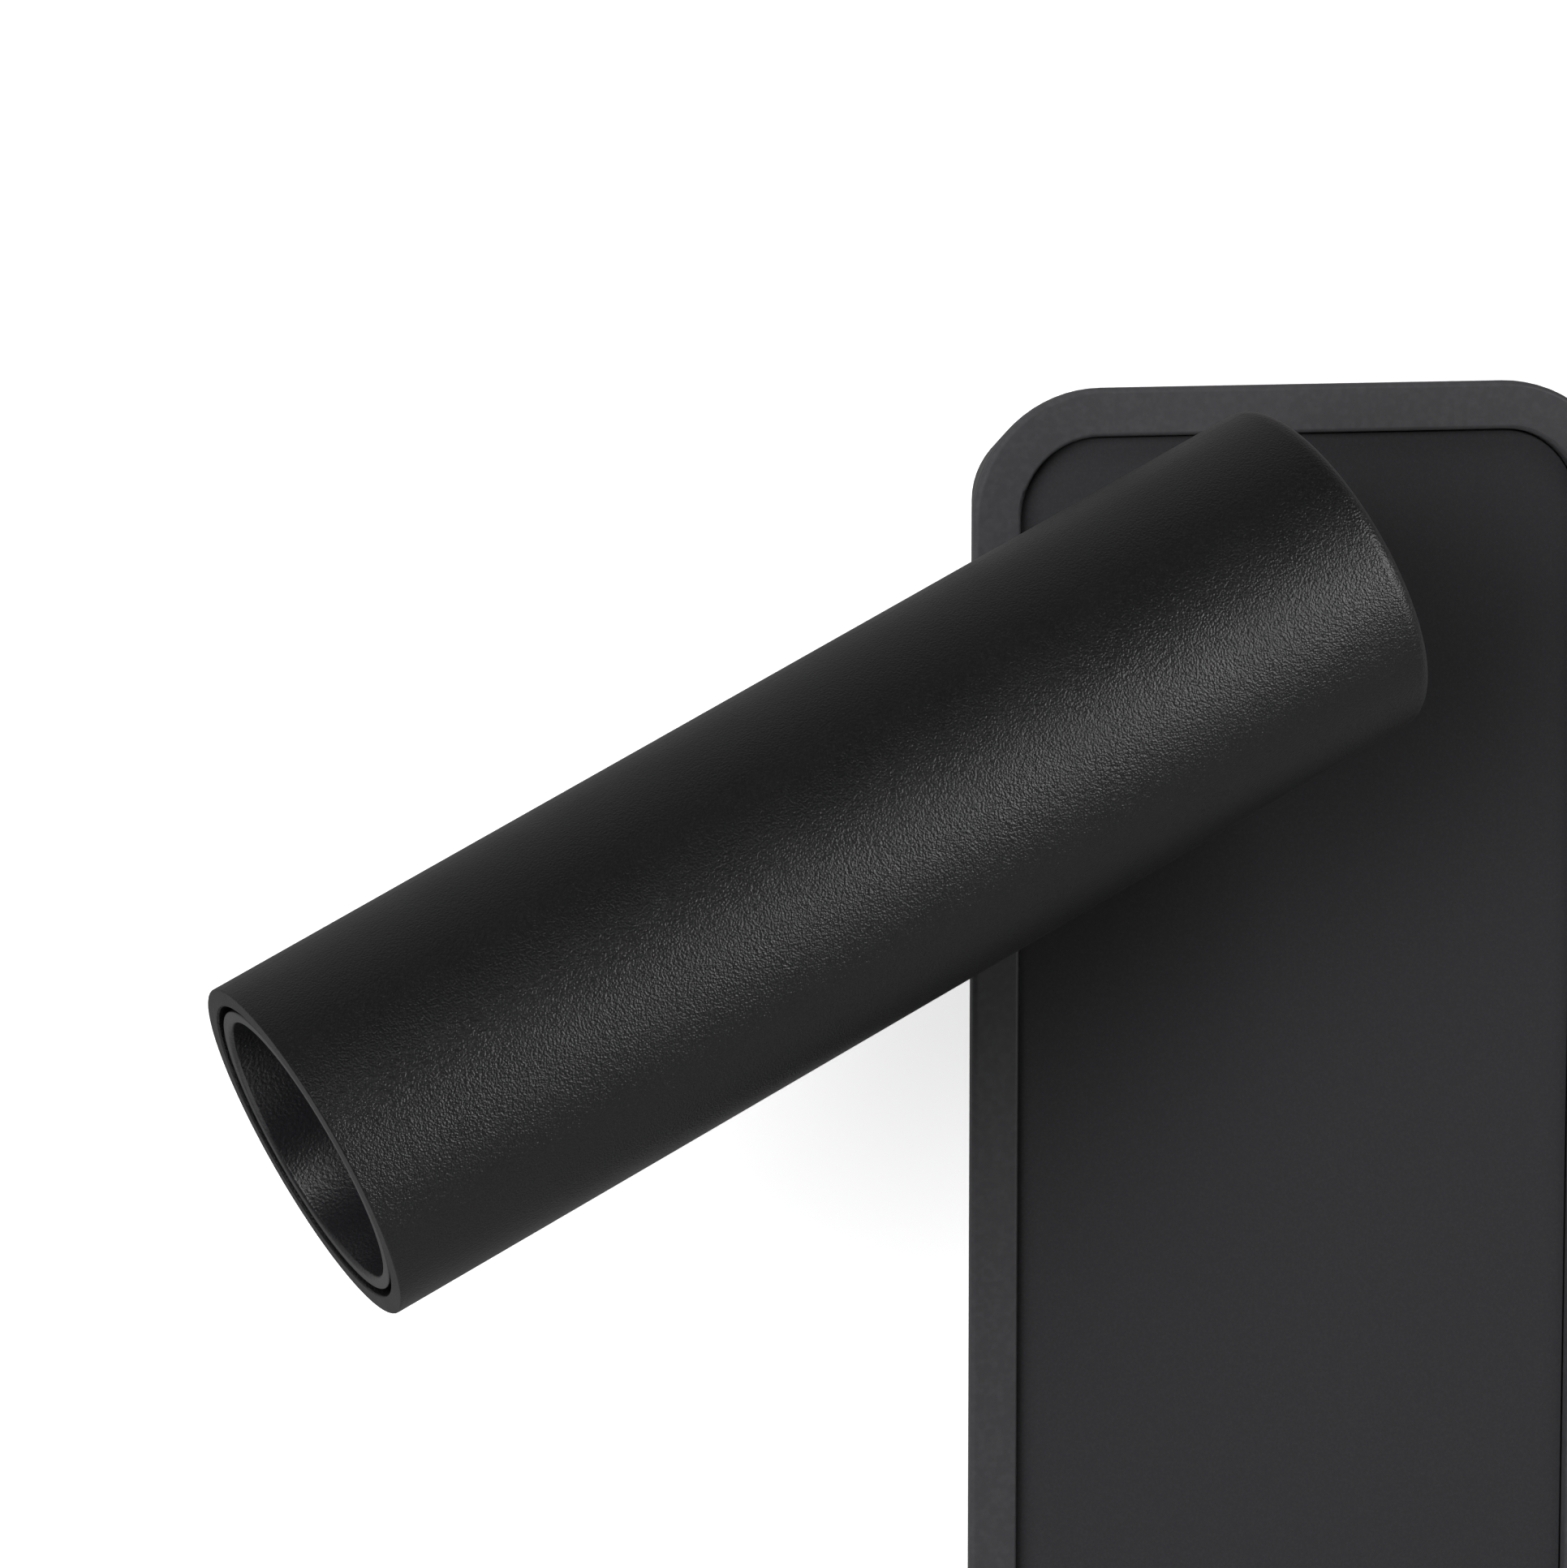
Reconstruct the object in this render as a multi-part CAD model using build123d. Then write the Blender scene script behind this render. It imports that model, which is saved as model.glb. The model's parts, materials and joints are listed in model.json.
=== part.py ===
from build123d import *
import math
import os

# Wall reading lamp. Millimetres, +Z up, the wall is the plane Y = 0 and the room is at -Y.
# The origin is the centre of the base on the wall. "Out" is a distance from the wall.
# Pieces of the head are made on a bench frame: Z runs along the tube from its rear face,
# X along the hinge bolt, and Y towards the wall.

# Base plate, as seen from the room
PLATE_W = 79.0
PLATE_H = 160.0
PLATE_R = 15.2
BASE_DEPTH = 26.0
RIM_W = 5.6
POCKET_R = 9.4
PANEL_RECESS = 1.6
PANEL_T = 2.0
PANEL_GAP = 0.2
PANEL_EDGE_R = 0.2
POCKET_EDGE_R = 0.5

# Cast shell of the base: it narrows towards the wall
EDGE_LAND = 1.5
EDGE_R = 0.6
SIDE_INSET = 6.1
SHELL_T = 2.5
FLOOR_T = 2.4

# Pegs that hold the panel, and their push-on rings
PEG_D = 4.0
PEG_LENGTH = 6.0
PEG_CLEARANCE = 0.2
PEG_FROM_SIDE = 4.9
PEG_FROM_END = 8.2
PEG_TO_BOSS = 9.0
RETAINER_D = 9.6
RETAINER_T = 0.6
RETAINER_DISH = 0.5

# Wall bracket
BRACKET_T = 1.5
BRACKET_W = 46.0
BRACKET_GAP = 1.1
BRACKET_CORNER_R = 5.0
WALL_HOLE_SPACING = 60.0
WALL_SLOT_W = 4.6
WALL_SLOT_LENGTH = 10.0
TAB_W = 16.0
TAB_BEND_R = 1.4
TAB_FIT = 0.3
TAB_PAST_SCREW = 5.0

# Screws through the housing's ends into the bracket's tabs
FIX_SCREW_OUT = 8.0
FIX_SCREW_D = 3.9
FIX_SCREW_LENGTH = 8.0
FIX_HEAD_D = 7.0
FIX_HEAD_T = 2.2
FIX_PAD_W = 15.0
FIX_PAD_T = 2.6
FIX_PAD_MARGIN = 6.0
SCREW_CLEARANCE = 0.1
HEAD_CLEARANCE = 0.5

# Cable entry
CABLE_ENTRY_Z = -12.0
CABLE_HOLE_D = 12.0
CABLE_BORE_D = 8.0
GROMMET_FLANGE_D = 16.0
GROMMET_FLANGE_T = 1.5
GROMMET_FIT = 0.05

# Driver, connector and earth screw on the back of the housing's floor
DRIVER_W = 46.0
DRIVER_H = 24.0
DRIVER_T = 15.0
DRIVER_R = 2.5
DRIVER_LID_T = 3.0
DRIVER_LID_STEP = 0.6
DRIVER_FROM_BOTTOM = 30.0
EAR_LENGTH = 7.5
EAR_W = 9.0
EAR_T = 2.5
SMALL_SCREW_D = 2.8
SMALL_HEAD_D = 5.2
SMALL_HEAD_T = 2.0
BLOCK_X = 19.0
BLOCK_Z = 17.0
BLOCK_H = 18.0
BLOCK_T = 12.0
BLOCK_BASE_T = 4.0
POLE_COUNT = 3
POLE_PITCH = 7.0
POLE_W = 6.4
WIRE_HOLE_D = 3.2
WIRE_HOLE_DEPTH = 6.0
CLAMP_WELL_D = 4.0
CLAMP_WELL_DEPTH = 5.0
EARTH_X = -22.0
EARTH_BELOW_PIVOT = 30.0
EARTH_HEAD_D = 7.0
EARTH_WASHER_D = 9.0
EARTH_WASHER_T = 0.8
LEAD_D = 2.0
LEAD_BOW = 5.0

# Swivel: its place from the plate's left and top edges, and the pieces along its axis
PIVOT_FROM_SIDE = 22.3
PIVOT_FROM_TOP = 24.0
BOSS_D = 26.0
BOSS_DEPTH = 8.4
BUSH_D = 14.0
BUSH_FIT = 0.05
BUSH_FLANGE_D = 20.0
BUSH_FLANGE_T = 1.2
BUSH_TO_PANEL = 0.6
STEM_D = 10.0
RUNNING_CLEARANCE = 0.05
SHOULDER_D = 17.0
SHOULDER_T = 3.0
COLLAR_D = 26.0
COLLAR_TOP_T = 1.6
COLLAR_WALL = 1.8
COLLAR_LIFT = 0.4
COLLAR_EDGE_R = 1.0
FRICTION_WASHER_D = 17.0
FRICTION_WASHER_T = 1.0
STOP_WASHER_D = 17.0
STOP_WASHER_T = 1.5
STOP_LUG_REACH = 12.4
STOP_LUG_W = 2.2
STOP_PIN_D = 2.5
STOP_PIN_RADIUS = 10.3
STOP_PIN_DEPTH = 4.0
SPRING_T = 0.8
SPRING_RISE = 0.7
SPRING_D = 16.0
LOCK_NUT_AF = 16.0
LOCK_NUT_T = 5.0
THREAD_D = 9.8
THREAD_FLATS = 8.6
THREAD_PAST_NUT = 1.2
WIRE_WAY_D = 5.0

# Hinge inside the tube
PAN_REST = 26.1
TILT_REST = 8.0
TILT_MAX = 80.0
PIN_FROM_REAR = 14.0
TUBE_TO_RIM = 8.0
EYE_D = 12.0
TONGUE_T = 7.0
TONGUE_W = 7.6
TONGUE_LENGTH = 14.5
WIRE_EXIT_ABOVE_NECK = 1.0
WIRE_EXIT_D = 4.0
WIRE_EXIT_ANGLE = 55.0
BOLT_D = 5.0
BOLT_HEAD_D = 9.0
BOLT_HEAD_T = 2.8
TILT_WASHER_D = 11.0
TILT_WASHER_T = 0.8
TILT_NUT_AF = 8.0
TILT_NUT_T = 4.0
YOKE_T = 2.0
YOKE_W = 14.0
YOKE_AHEAD_OF_PIN = 8.0
YOKE_FOOT = 7.7
YOKE_SCREW_X = 10.4
YOKE_SCREW_D = 2.9
YOKE_HEAD_D = 5.6
YOKE_SCREW_PAST_FOOT = 1.0

# Lamp tube
TUBE_D = 40.0
TUBE_WALL = 2.15
TUBE_LENGTH = 135.0
REAR_WALL = 3.0
REAR_EDGE_R = 2.0
RIM_EDGE_R = 0.2
SLOT_CLEARANCE = 0.6

# Light engine, from the front back
BAFFLE_RECESS = 0.25
BAFFLE_LENGTH = 26.65
BAFFLE_GROOVE = 0.75
BAFFLE_LIP_W = 1.45
BAFFLE_LIP_R = 0.2
BAFFLE_MOUTH_R = 0.5
BAFFLE_WINDOW_D = 26.0
BAFFLE_SEAT_LENGTH = 6.0
BAFFLE_FIT = 0.05
LENS_FLANGE_D = 31.0
LENS_FLANGE_T = 1.5
LENS_FRONT_D = 28.0
LENS_REAR_D = 16.8
LENS_DEPTH = 14.0
LENS_POCKET_D = 13.8
LENS_POCKET_DEPTH = 5.0
LENS_AIR = 0.3
HOLDER_D = 32.0
HOLDER_CLEARANCE = 0.4
CHIP_D = 13.0
CHIP_T = 0.8
BOARD_D = 27.0
BOARD_T = 1.6
BOARD_SCREW_X = 11.1
BOARD_SCREW_LENGTH = 5.0
BOARD_HEAD_D = 4.2
BOARD_HEAD_T = 1.5
SINK_LENGTH = 30.0
SINK_BASE_T = 8.0
FIN_T = 2.0
FIN_GAP = 3.0
FIN_GAP_COUNT = 6

# Distances from the wall
LAND_BACK = BASE_DEPTH - EDGE_LAND
PANEL_FRONT = BASE_DEPTH - PANEL_RECESS
FLOOR_FRONT = PANEL_FRONT - PANEL_T
FLOOR_BACK = FLOOR_FRONT - FLOOR_T
BOSS_BACK = FLOOR_FRONT - BOSS_DEPTH
BUSH_FRONT = FLOOR_FRONT + BUSH_FLANGE_T
SHOULDER_FRONT = BUSH_FRONT + SHOULDER_T
COLLAR_FRONT = SHOULDER_FRONT + COLLAR_TOP_T
FRICTION_BACK = BOSS_BACK - FRICTION_WASHER_T
STOP_BACK = FRICTION_BACK - STOP_WASHER_T
SPRING_BACK = STOP_BACK - SPRING_T - SPRING_RISE
NUT_BACK = SPRING_BACK - LOCK_NUT_T
STEM_BACK = NUT_BACK - THREAD_PAST_NUT
PIN_OUT = BASE_DEPTH + TUBE_TO_RIM + TUBE_D / 2
NECK_FRONT = PIN_OUT - TONGUE_LENGTH

# Sizes that follow from the others
STEM_R = STEM_D / 2
TUBE_R = TUBE_D / 2
BORE_R = TUBE_R - TUBE_WALL
PANEL_W = PLATE_W - 2 * (RIM_W + PANEL_GAP)
PANEL_H = PLATE_H - 2 * (RIM_W + PANEL_GAP)
PANEL_HOLE_R = BUSH_FLANGE_D / 2 + BUSH_TO_PANEL
PIVOT_X = PIVOT_FROM_SIDE - PLATE_W / 2
PIVOT_Z = PLATE_H / 2 - PIVOT_FROM_TOP
EARTH_Z = PIVOT_Z - EARTH_BELOW_PIVOT
DRIVER_Z = DRIVER_FROM_BOTTOM - PLATE_H / 2
BRACKET_H = PLATE_H - 2 * (SIDE_INSET + SHELL_T + BRACKET_GAP)
TAB_Z = BRACKET_H / 2
PAD_Z = TAB_Z + TAB_FIT
PEG_X = PANEL_W / 2 - PEG_FROM_SIDE
PEG_Z = PANEL_H / 2 - PEG_FROM_END
PEG_PLACES = [
    (-PEG_X, PIVOT_Z - BOSS_D / 2 - PEG_TO_BOSS),
    (PEG_X, PEG_Z),
    (-PEG_X, -PEG_Z),
    (PEG_X, -PEG_Z),
]
EAR_X = DRIVER_W / 2 + EAR_LENGTH / 2
BLOCK_W = POLE_COUNT * POLE_PITCH
CHEEK_IN = TONGUE_T / 2 + TILT_WASHER_T
CHEEK_OUT = CHEEK_IN + YOKE_T
SLOT_R = max(STEM_R, math.hypot(TONGUE_T, TONGUE_W) / 2) + SLOT_CLEARANCE

# Places along the tube, from its rear face
LIP_AT = TUBE_LENGTH - BAFFLE_RECESS
LENS_FRONT_AT = LIP_AT - BAFFLE_LENGTH
FLANGE_BACK_AT = LENS_FRONT_AT - LENS_FLANGE_T
LENS_REAR_AT = LENS_FRONT_AT - LENS_DEPTH
CHIP_FRONT_AT = LENS_REAR_AT - LENS_AIR
BOARD_FRONT_AT = CHIP_FRONT_AT - CHIP_T
SINK_FRONT_AT = BOARD_FRONT_AT - BOARD_T
SINK_REAR_AT = SINK_FRONT_AT - SINK_LENGTH
YOKE_FRONT_AT = PIN_FROM_REAR + YOKE_AHEAD_OF_PIN + YOKE_T

# Frames of the moving pieces at rest
pan = math.radians(PAN_REST)
tilt = math.radians(TILT_REST)
BOLT_DIR = Vector(-math.sin(pan), 0, math.cos(pan))
TUBE_DIR = Vector(-math.cos(tilt) * math.cos(pan), -math.sin(tilt), -math.cos(tilt) * math.sin(pan))
PIN_PLACE = Vector(PIVOT_X, -PIN_OUT, PIVOT_Z)
ROOM_DIR = (0, -1, 0)
PIVOT = Plane((PIVOT_X, 0, PIVOT_Z), x_dir=(1, 0, 0), z_dir=ROOM_DIR)
SWIVEL = Plane((PIVOT_X, 0, PIVOT_Z), x_dir=BOLT_DIR, z_dir=ROOM_DIR)
HEAD = Plane(PIN_PLACE - TUBE_DIR * PIN_FROM_REAR, x_dir=BOLT_DIR, z_dir=TUBE_DIR)

UPRIGHT = (Align.CENTER, Align.CENTER, Align.MIN)


def front(out):
    """Plane parallel to the wall at a distance from it, facing the room."""
    return Plane.XZ.offset(out)


def slab(shape, out_from, out_to):
    """Plate of a flat shape, between two distances from the wall."""
    return extrude(front(out_from) * shape, amount=out_to - out_from)


def ring(outer_d, inner_d, low, high):
    """Round plate about Z, with a bore where the inner diameter isn't zero."""
    shape = Circle(outer_d / 2)
    if inner_d:
        shape -= Circle(inner_d / 2)
    return extrude(Pos(0, 0, low) * shape, amount=high - low)


def turned(outline, rounds=()):
    """Solid turned about Z from corners of (radius, height), some of them rounded."""
    face = make_face(Polyline(*outline, close=True))
    for corner, radius in rounds:
        nearest = face.vertices().sort_by_distance((*corner, 0))[0]
        face = fillet(nearest, radius)
    return revolve(Plane.XZ * face, Axis.Z)


def hex_nut(across_flats, bore_d, low, high):
    """Six-sided nut about Z."""
    shape = RegularPolygon(across_flats / 2, 6, major_radius=False) - Circle(bore_d / 2)
    return extrude(Pos(0, 0, low) * shape, amount=high - low)


def pan_screw(shank_d, length, head_d, head_t):
    """Screw with a flat round head: the head lies above Z = 0, the shank below."""
    head = turned(
        [(0, 0), (head_d / 2, 0), (head_d / 2, head_t), (0, head_t)],
        rounds=[((head_d / 2, head_t), head_t / 3)],
    )
    return head + ring(shank_d, 0, -length, 0)


def base_outline(out, inward=0.0):
    """Outline of the base at a distance from the wall, moved inwards by a wall's thickness."""
    inset = inward + SIDE_INSET * max(0.0, 1 - out / LAND_BACK)
    return RectangleRounded(PLATE_W - 2 * inset, PLATE_H - 2 * inset, PLATE_R - inset)


def drafted(out_to, inward=0.0):
    """Solid with the base's slanted sides, from the wall out to a distance."""
    ends = [front(out) * base_outline(out, inward) for out in (0.0, out_to)]
    return loft(ends, ruled=True)


def fix_screw_frame(end):
    """Frame on the axis of an end screw, Z pointing out of the top (end 1) or bottom (end -1)."""
    return Plane((0, -FIX_SCREW_OUT, 0), x_dir=(1, 0, 0), z_dir=(0, 0, end))


def make_base_housing():
    """Cast shell: slanted sides, raised rim, pocket for the panel, pivot boss and end pads."""
    outside = drafted(LAND_BACK)
    land = slab(base_outline(LAND_BACK), LAND_BACK, BASE_DEPTH)
    land = fillet(land.faces().sort_by(Axis.Y)[0].edges(), EDGE_R)
    housing = outside + land - drafted(FLOOR_BACK, SHELL_T)
    housing -= slab(
        RectangleRounded(PLATE_W - 2 * RIM_W, PLATE_H - 2 * RIM_W, POCKET_R), FLOOR_FRONT, BASE_DEPTH
    )
    rim = housing.faces().sort_by(Axis.Y)[0]
    housing = fillet(rim.inner_wires()[0].edges(), POCKET_EDGE_R)
    housing += PIVOT * ring(BOSS_D, 0, BOSS_BACK, FLOOR_FRONT)
    housing -= PIVOT * ring(BUSH_D + 2 * BUSH_FIT, 0, BOSS_BACK, FLOOR_FRONT)
    housing -= PIVOT * Pos(0, STOP_PIN_RADIUS) * ring(STOP_PIN_D, 0, BOSS_BACK, BOSS_BACK + STOP_PIN_DEPTH)
    for end in (1, -1):
        frame = fix_screw_frame(end)
        pad = Box(FIX_PAD_W, 2 * FIX_PAD_MARGIN, PLATE_H / 2 - PAD_Z, align=UPRIGHT)
        housing += (frame * Pos(0, 0, PAD_Z) * pad) & outside
        housing -= frame * ring(FIX_SCREW_D + 2 * SCREW_CLEARANCE, 0, PAD_Z, PLATE_H / 2)
        housing -= frame * ring(FIX_HEAD_D + 2 * HEAD_CLEARANCE, 0, PAD_Z + FIX_PAD_T, PLATE_H / 2)
    for x, z in PEG_PLACES:
        housing -= slab(Pos(x, z) * Circle(PEG_D / 2 + PEG_CLEARANCE), FLOOR_BACK, FLOOR_FRONT)
    for x, z in floor_screw_places():
        housing -= slab(Pos(x, z) * Circle(SMALL_SCREW_D / 2), FLOOR_BACK, FLOOR_FRONT)
    return housing


def floor_screw_places():
    """Places of the small screws in the housing's floor: driver, connector and earth."""
    return [(-EAR_X, DRIVER_Z), (EAR_X, DRIVER_Z), (BLOCK_X, BLOCK_Z), (EARTH_X, EARTH_Z)]


def floor_screw(x, z, seat, head_d=SMALL_HEAD_D):
    """Small screw from behind into the floor, with its head seated at a distance from the wall."""
    frame = Plane((x, -seat, z), x_dir=(1, 0, 0), z_dir=(0, 1, 0))
    return frame * pan_screw(SMALL_SCREW_D, FLOOR_FRONT - seat, head_d, SMALL_HEAD_T)


def make_front_panel():
    """Flat panel with a softened edge, a hole for the pivot and four pegs behind."""
    panel = slab(RectangleRounded(PANEL_W, PANEL_H, POCKET_R - PANEL_GAP), FLOOR_FRONT, PANEL_FRONT)
    panel = fillet(panel.faces().sort_by(Axis.Y)[0].edges(), PANEL_EDGE_R)
    panel -= PIVOT * ring(2 * PANEL_HOLE_R, 0, FLOOR_FRONT, PANEL_FRONT)
    for x, z in PEG_PLACES:
        panel += slab(Pos(x, z) * Circle(PEG_D / 2), FLOOR_FRONT - PEG_LENGTH, FLOOR_FRONT)
    return panel


def make_panel_retainers():
    """Dished push-on rings on the pegs, against the back of the floor."""
    hole_r = PEG_D / 2
    outer_r = RETAINER_D / 2
    dished = turned([
        (hole_r, -RETAINER_DISH - RETAINER_T),
        (outer_r, -RETAINER_T),
        (outer_r, 0),
        (hole_r, -RETAINER_DISH),
    ])
    return [Plane((x, -FLOOR_BACK, z), x_dir=(1, 0, 0), z_dir=ROOM_DIR) * dished for x, z in PEG_PLACES]


def make_wall_bracket():
    """Steel plate with two wall slots, a cable hole and a bent tab at each end."""
    shape = RectangleRounded(BRACKET_W, BRACKET_H, BRACKET_CORNER_R)
    for z in (WALL_HOLE_SPACING / 2, -WALL_HOLE_SPACING / 2):
        shape -= Pos(0, z) * Rot(0, 0, 90) * SlotOverall(WALL_SLOT_LENGTH, WALL_SLOT_W)
    shape -= Pos(0, CABLE_ENTRY_Z) * Circle(CABLE_HOLE_D / 2)
    bracket = slab(shape, 0, BRACKET_T)
    tab_reach = FIX_SCREW_OUT + TAB_PAST_SCREW
    for end in (1, -1):
        tab = slab(Pos(0, end * (TAB_Z - BRACKET_T / 2)) * Rectangle(TAB_W, BRACKET_T), 0, tab_reach)
        corner = tab.edges().filter_by(Axis.X).sort_by_distance((0, 0, end * TAB_Z))[0]
        bracket += fillet(corner, TAB_BEND_R)
        thread = ring(FIX_SCREW_D + SCREW_CLEARANCE, 0, TAB_Z - BRACKET_T, TAB_Z)
        bracket -= fix_screw_frame(end) * thread
    return bracket


def make_housing_screws():
    """One screw at each end, its head on the floor of the pad's counterbore."""
    screw = pan_screw(FIX_SCREW_D, FIX_SCREW_LENGTH, FIX_HEAD_D, FIX_HEAD_T)
    return [fix_screw_frame(end) * Pos(0, 0, PAD_Z + FIX_PAD_T) * screw for end in (1, -1)]


def make_cable_grommet():
    """Rubber bush in the bracket's cable hole, with its flange inside the base."""
    bore_r = CABLE_BORE_D / 2
    neck_r = CABLE_HOLE_D / 2 - GROMMET_FIT
    flange_r = GROMMET_FLANGE_D / 2
    top = BRACKET_T + GROMMET_FLANGE_T
    outline = [
        (bore_r, 0), (neck_r, 0), (neck_r, BRACKET_T), (flange_r, BRACKET_T), (flange_r, top), (bore_r, top)
    ]
    bush = turned(outline, rounds=[((flange_r, top), GROMMET_FLANGE_T / 2)])
    return Plane((0, 0, CABLE_ENTRY_Z), x_dir=(1, 0, 0), z_dir=ROOM_DIR) * bush


def make_led_driver():
    """Driver's case with a stepped lid and an ear at each end, on the back of the floor."""
    lid_out = FLOOR_BACK - DRIVER_T
    body = slab(
        Pos(0, DRIVER_Z) * RectangleRounded(DRIVER_W, DRIVER_H, DRIVER_R), lid_out + DRIVER_LID_T, FLOOR_BACK
    )
    step = 2 * DRIVER_LID_STEP
    lid = slab(
        Pos(0, DRIVER_Z) * RectangleRounded(DRIVER_W - step, DRIVER_H - step, DRIVER_R - DRIVER_LID_STEP),
        lid_out, lid_out + DRIVER_LID_T,
    )
    ears = slab(
        Pos(0, DRIVER_Z) * RectangleRounded(DRIVER_W + 2 * EAR_LENGTH, EAR_W, DRIVER_R), FLOOR_BACK - EAR_T,
        FLOOR_BACK,
    )
    for end in (1, -1):
        hole = Pos(end * EAR_X, DRIVER_Z) * Circle(SMALL_SCREW_D / 2 + SCREW_CLEARANCE)
        ears -= slab(hole, FLOOR_BACK - EAR_T, FLOOR_BACK)
    return body + lid + ears


def make_driver_screws():
    """The driver's two screws, through its ears."""
    return [floor_screw(end * EAR_X, DRIVER_Z, FLOOR_BACK - EAR_T) for end in (1, -1)]


def pole_places():
    """X of each pole of the connector."""
    return [BLOCK_X + POLE_PITCH * (pole - (POLE_COUNT - 1) / 2) for pole in range(POLE_COUNT)]


def make_terminal_block():
    """Three poles on a common base, each with two wire holes and two clamp wells."""
    base_out = FLOOR_BACK - BLOCK_BASE_T
    top_out = FLOOR_BACK - BLOCK_T
    block = slab(Pos(BLOCK_X, BLOCK_Z) * Rectangle(BLOCK_W, BLOCK_H), base_out, FLOOR_BACK)
    wire_out = (base_out + top_out) / 2
    for x in pole_places():
        block += slab(Pos(x, BLOCK_Z) * RectangleRounded(POLE_W, BLOCK_H, PANEL_EDGE_R), top_out, base_out)
        for side in (1, -1):
            mouth = Plane((x, -wire_out, BLOCK_Z + side * BLOCK_H / 2), x_dir=(1, 0, 0), z_dir=(0, 0, -side))
            block -= mouth * ring(WIRE_HOLE_D, 0, 0, WIRE_HOLE_DEPTH)
            well = Pos(x, BLOCK_Z + side * BLOCK_H / 4) * Circle(CLAMP_WELL_D / 2)
            block -= slab(well, top_out, top_out + CLAMP_WELL_DEPTH)
    hole = Pos(BLOCK_X, BLOCK_Z) * Circle(SMALL_SCREW_D / 2 + SCREW_CLEARANCE)
    sink = Pos(BLOCK_X, BLOCK_Z) * Circle(SMALL_HEAD_D / 2 + SCREW_CLEARANCE)
    return block - slab(hole, top_out, FLOOR_BACK) - slab(sink, top_out, base_out)


def make_terminal_block_screw():
    """Screw down the middle of the connector."""
    return floor_screw(BLOCK_X, BLOCK_Z, FLOOR_BACK - BLOCK_BASE_T)


def make_earth_screw():
    """Earth screw with its captive washer, on the back of the floor."""
    seat = FLOOR_BACK - EARTH_WASHER_T
    washer = slab(Pos(EARTH_X, EARTH_Z) * Circle(EARTH_WASHER_D / 2), seat, FLOOR_BACK)
    return washer + floor_screw(EARTH_X, EARTH_Z, seat, EARTH_HEAD_D)


def make_driver_leads():
    """Two wires that bow from the connector's lower mouths to the driver's case."""
    wire_out = FLOOR_BACK - (BLOCK_BASE_T + BLOCK_T) / 2
    top = BLOCK_Z - BLOCK_H / 2
    foot = DRIVER_Z + DRIVER_H / 2
    leads = []
    for x in pole_places()[:2]:
        path = ThreePointArc(
            (x, -wire_out, top), (x, -wire_out + LEAD_BOW, (top + foot) / 2), (x, -wire_out, foot)
        )
        section = Plane(path @ 0, z_dir=path % 0) * Circle(LEAD_D / 2)
        lead = sweep(section, path=path)
        room = Pos(x, -wire_out, (top + foot) / 2) * Box(BLOCK_W, BASE_DEPTH, top - foot)
        leads.append(lead & room)
    return leads


def make_pivot_bush():
    """Flanged bush in the boss, with its flange on the floor inside the panel's hole."""
    bore_r = STEM_R + RUNNING_CLEARANCE
    body_r = BUSH_D / 2
    flange_r = BUSH_FLANGE_D / 2
    return PIVOT * turned([
        (bore_r, BOSS_BACK), (body_r, BOSS_BACK), (body_r, FLOOR_FRONT), (flange_r, FLOOR_FRONT),
        (flange_r, BUSH_FRONT), (bore_r, BUSH_FRONT),
    ])


def make_stop_pin():
    """Pin in the boss that the stop washer's lug meets at both ends of the turn."""
    low = STOP_BACK
    return PIVOT * Pos(0, STOP_PIN_RADIUS) * ring(STOP_PIN_D, 0, low, BOSS_BACK + STOP_PIN_DEPTH)


def make_pivot_stem():
    """Hollow stem: flatted thread, journal, shoulder, neck and flat eye for the hinge bolt."""
    thread = ring(THREAD_D, 0, STEM_BACK, FRICTION_BACK) & Pos(0, 0, STEM_BACK) * Box(
        THREAD_D, THREAD_FLATS, FRICTION_BACK - STEM_BACK, align=UPRIGHT
    )
    stem = thread + ring(STEM_D, 0, FRICTION_BACK, NECK_FRONT) + ring(SHOULDER_D, 0, BUSH_FRONT, SHOULDER_FRONT)
    tongue = Pos(0, 0, NECK_FRONT) * Box(TONGUE_T, TONGUE_W, PIN_OUT - NECK_FRONT, align=UPRIGHT)
    across = Pos(0, 0, PIN_OUT) * Rot(0, 90, 0)
    eye = across * Cylinder(EYE_D / 2, TONGUE_T)
    stem += tongue + eye
    stem -= across * Cylinder(BOLT_D / 2 + RUNNING_CLEARANCE, TONGUE_T)
    exit_at = NECK_FRONT + WIRE_EXIT_ABOVE_NECK
    stem -= ring(WIRE_WAY_D, 0, STEM_BACK, exit_at)
    slant = Pos(0, 0, exit_at - WIRE_EXIT_D / 2) * Rot(-WIRE_EXIT_ANGLE, 0, 0)
    stem -= slant * ring(WIRE_EXIT_D, 0, 0, STEM_D)
    return SWIVEL * stem


def make_pivot_collar():
    """Turned cover over the stem's shoulder and the panel's hole."""
    inner_r = STEM_R + BUSH_FIT
    outer_r = COLLAR_D / 2
    cup_r = outer_r - COLLAR_WALL
    low = PANEL_FRONT + COLLAR_LIFT
    outline = [
        (inner_r, SHOULDER_FRONT), (cup_r, SHOULDER_FRONT), (cup_r, low), (outer_r, low),
        (outer_r, COLLAR_FRONT), (inner_r, COLLAR_FRONT),
    ]
    return SWIVEL * turned(outline, rounds=[((outer_r, COLLAR_FRONT), COLLAR_EDGE_R)])


def make_friction_washer():
    """Plain washer between the boss and the stop washer."""
    return SWIVEL * ring(FRICTION_WASHER_D, STEM_D + 2 * BUSH_FIT, FRICTION_BACK, BOSS_BACK)


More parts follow.
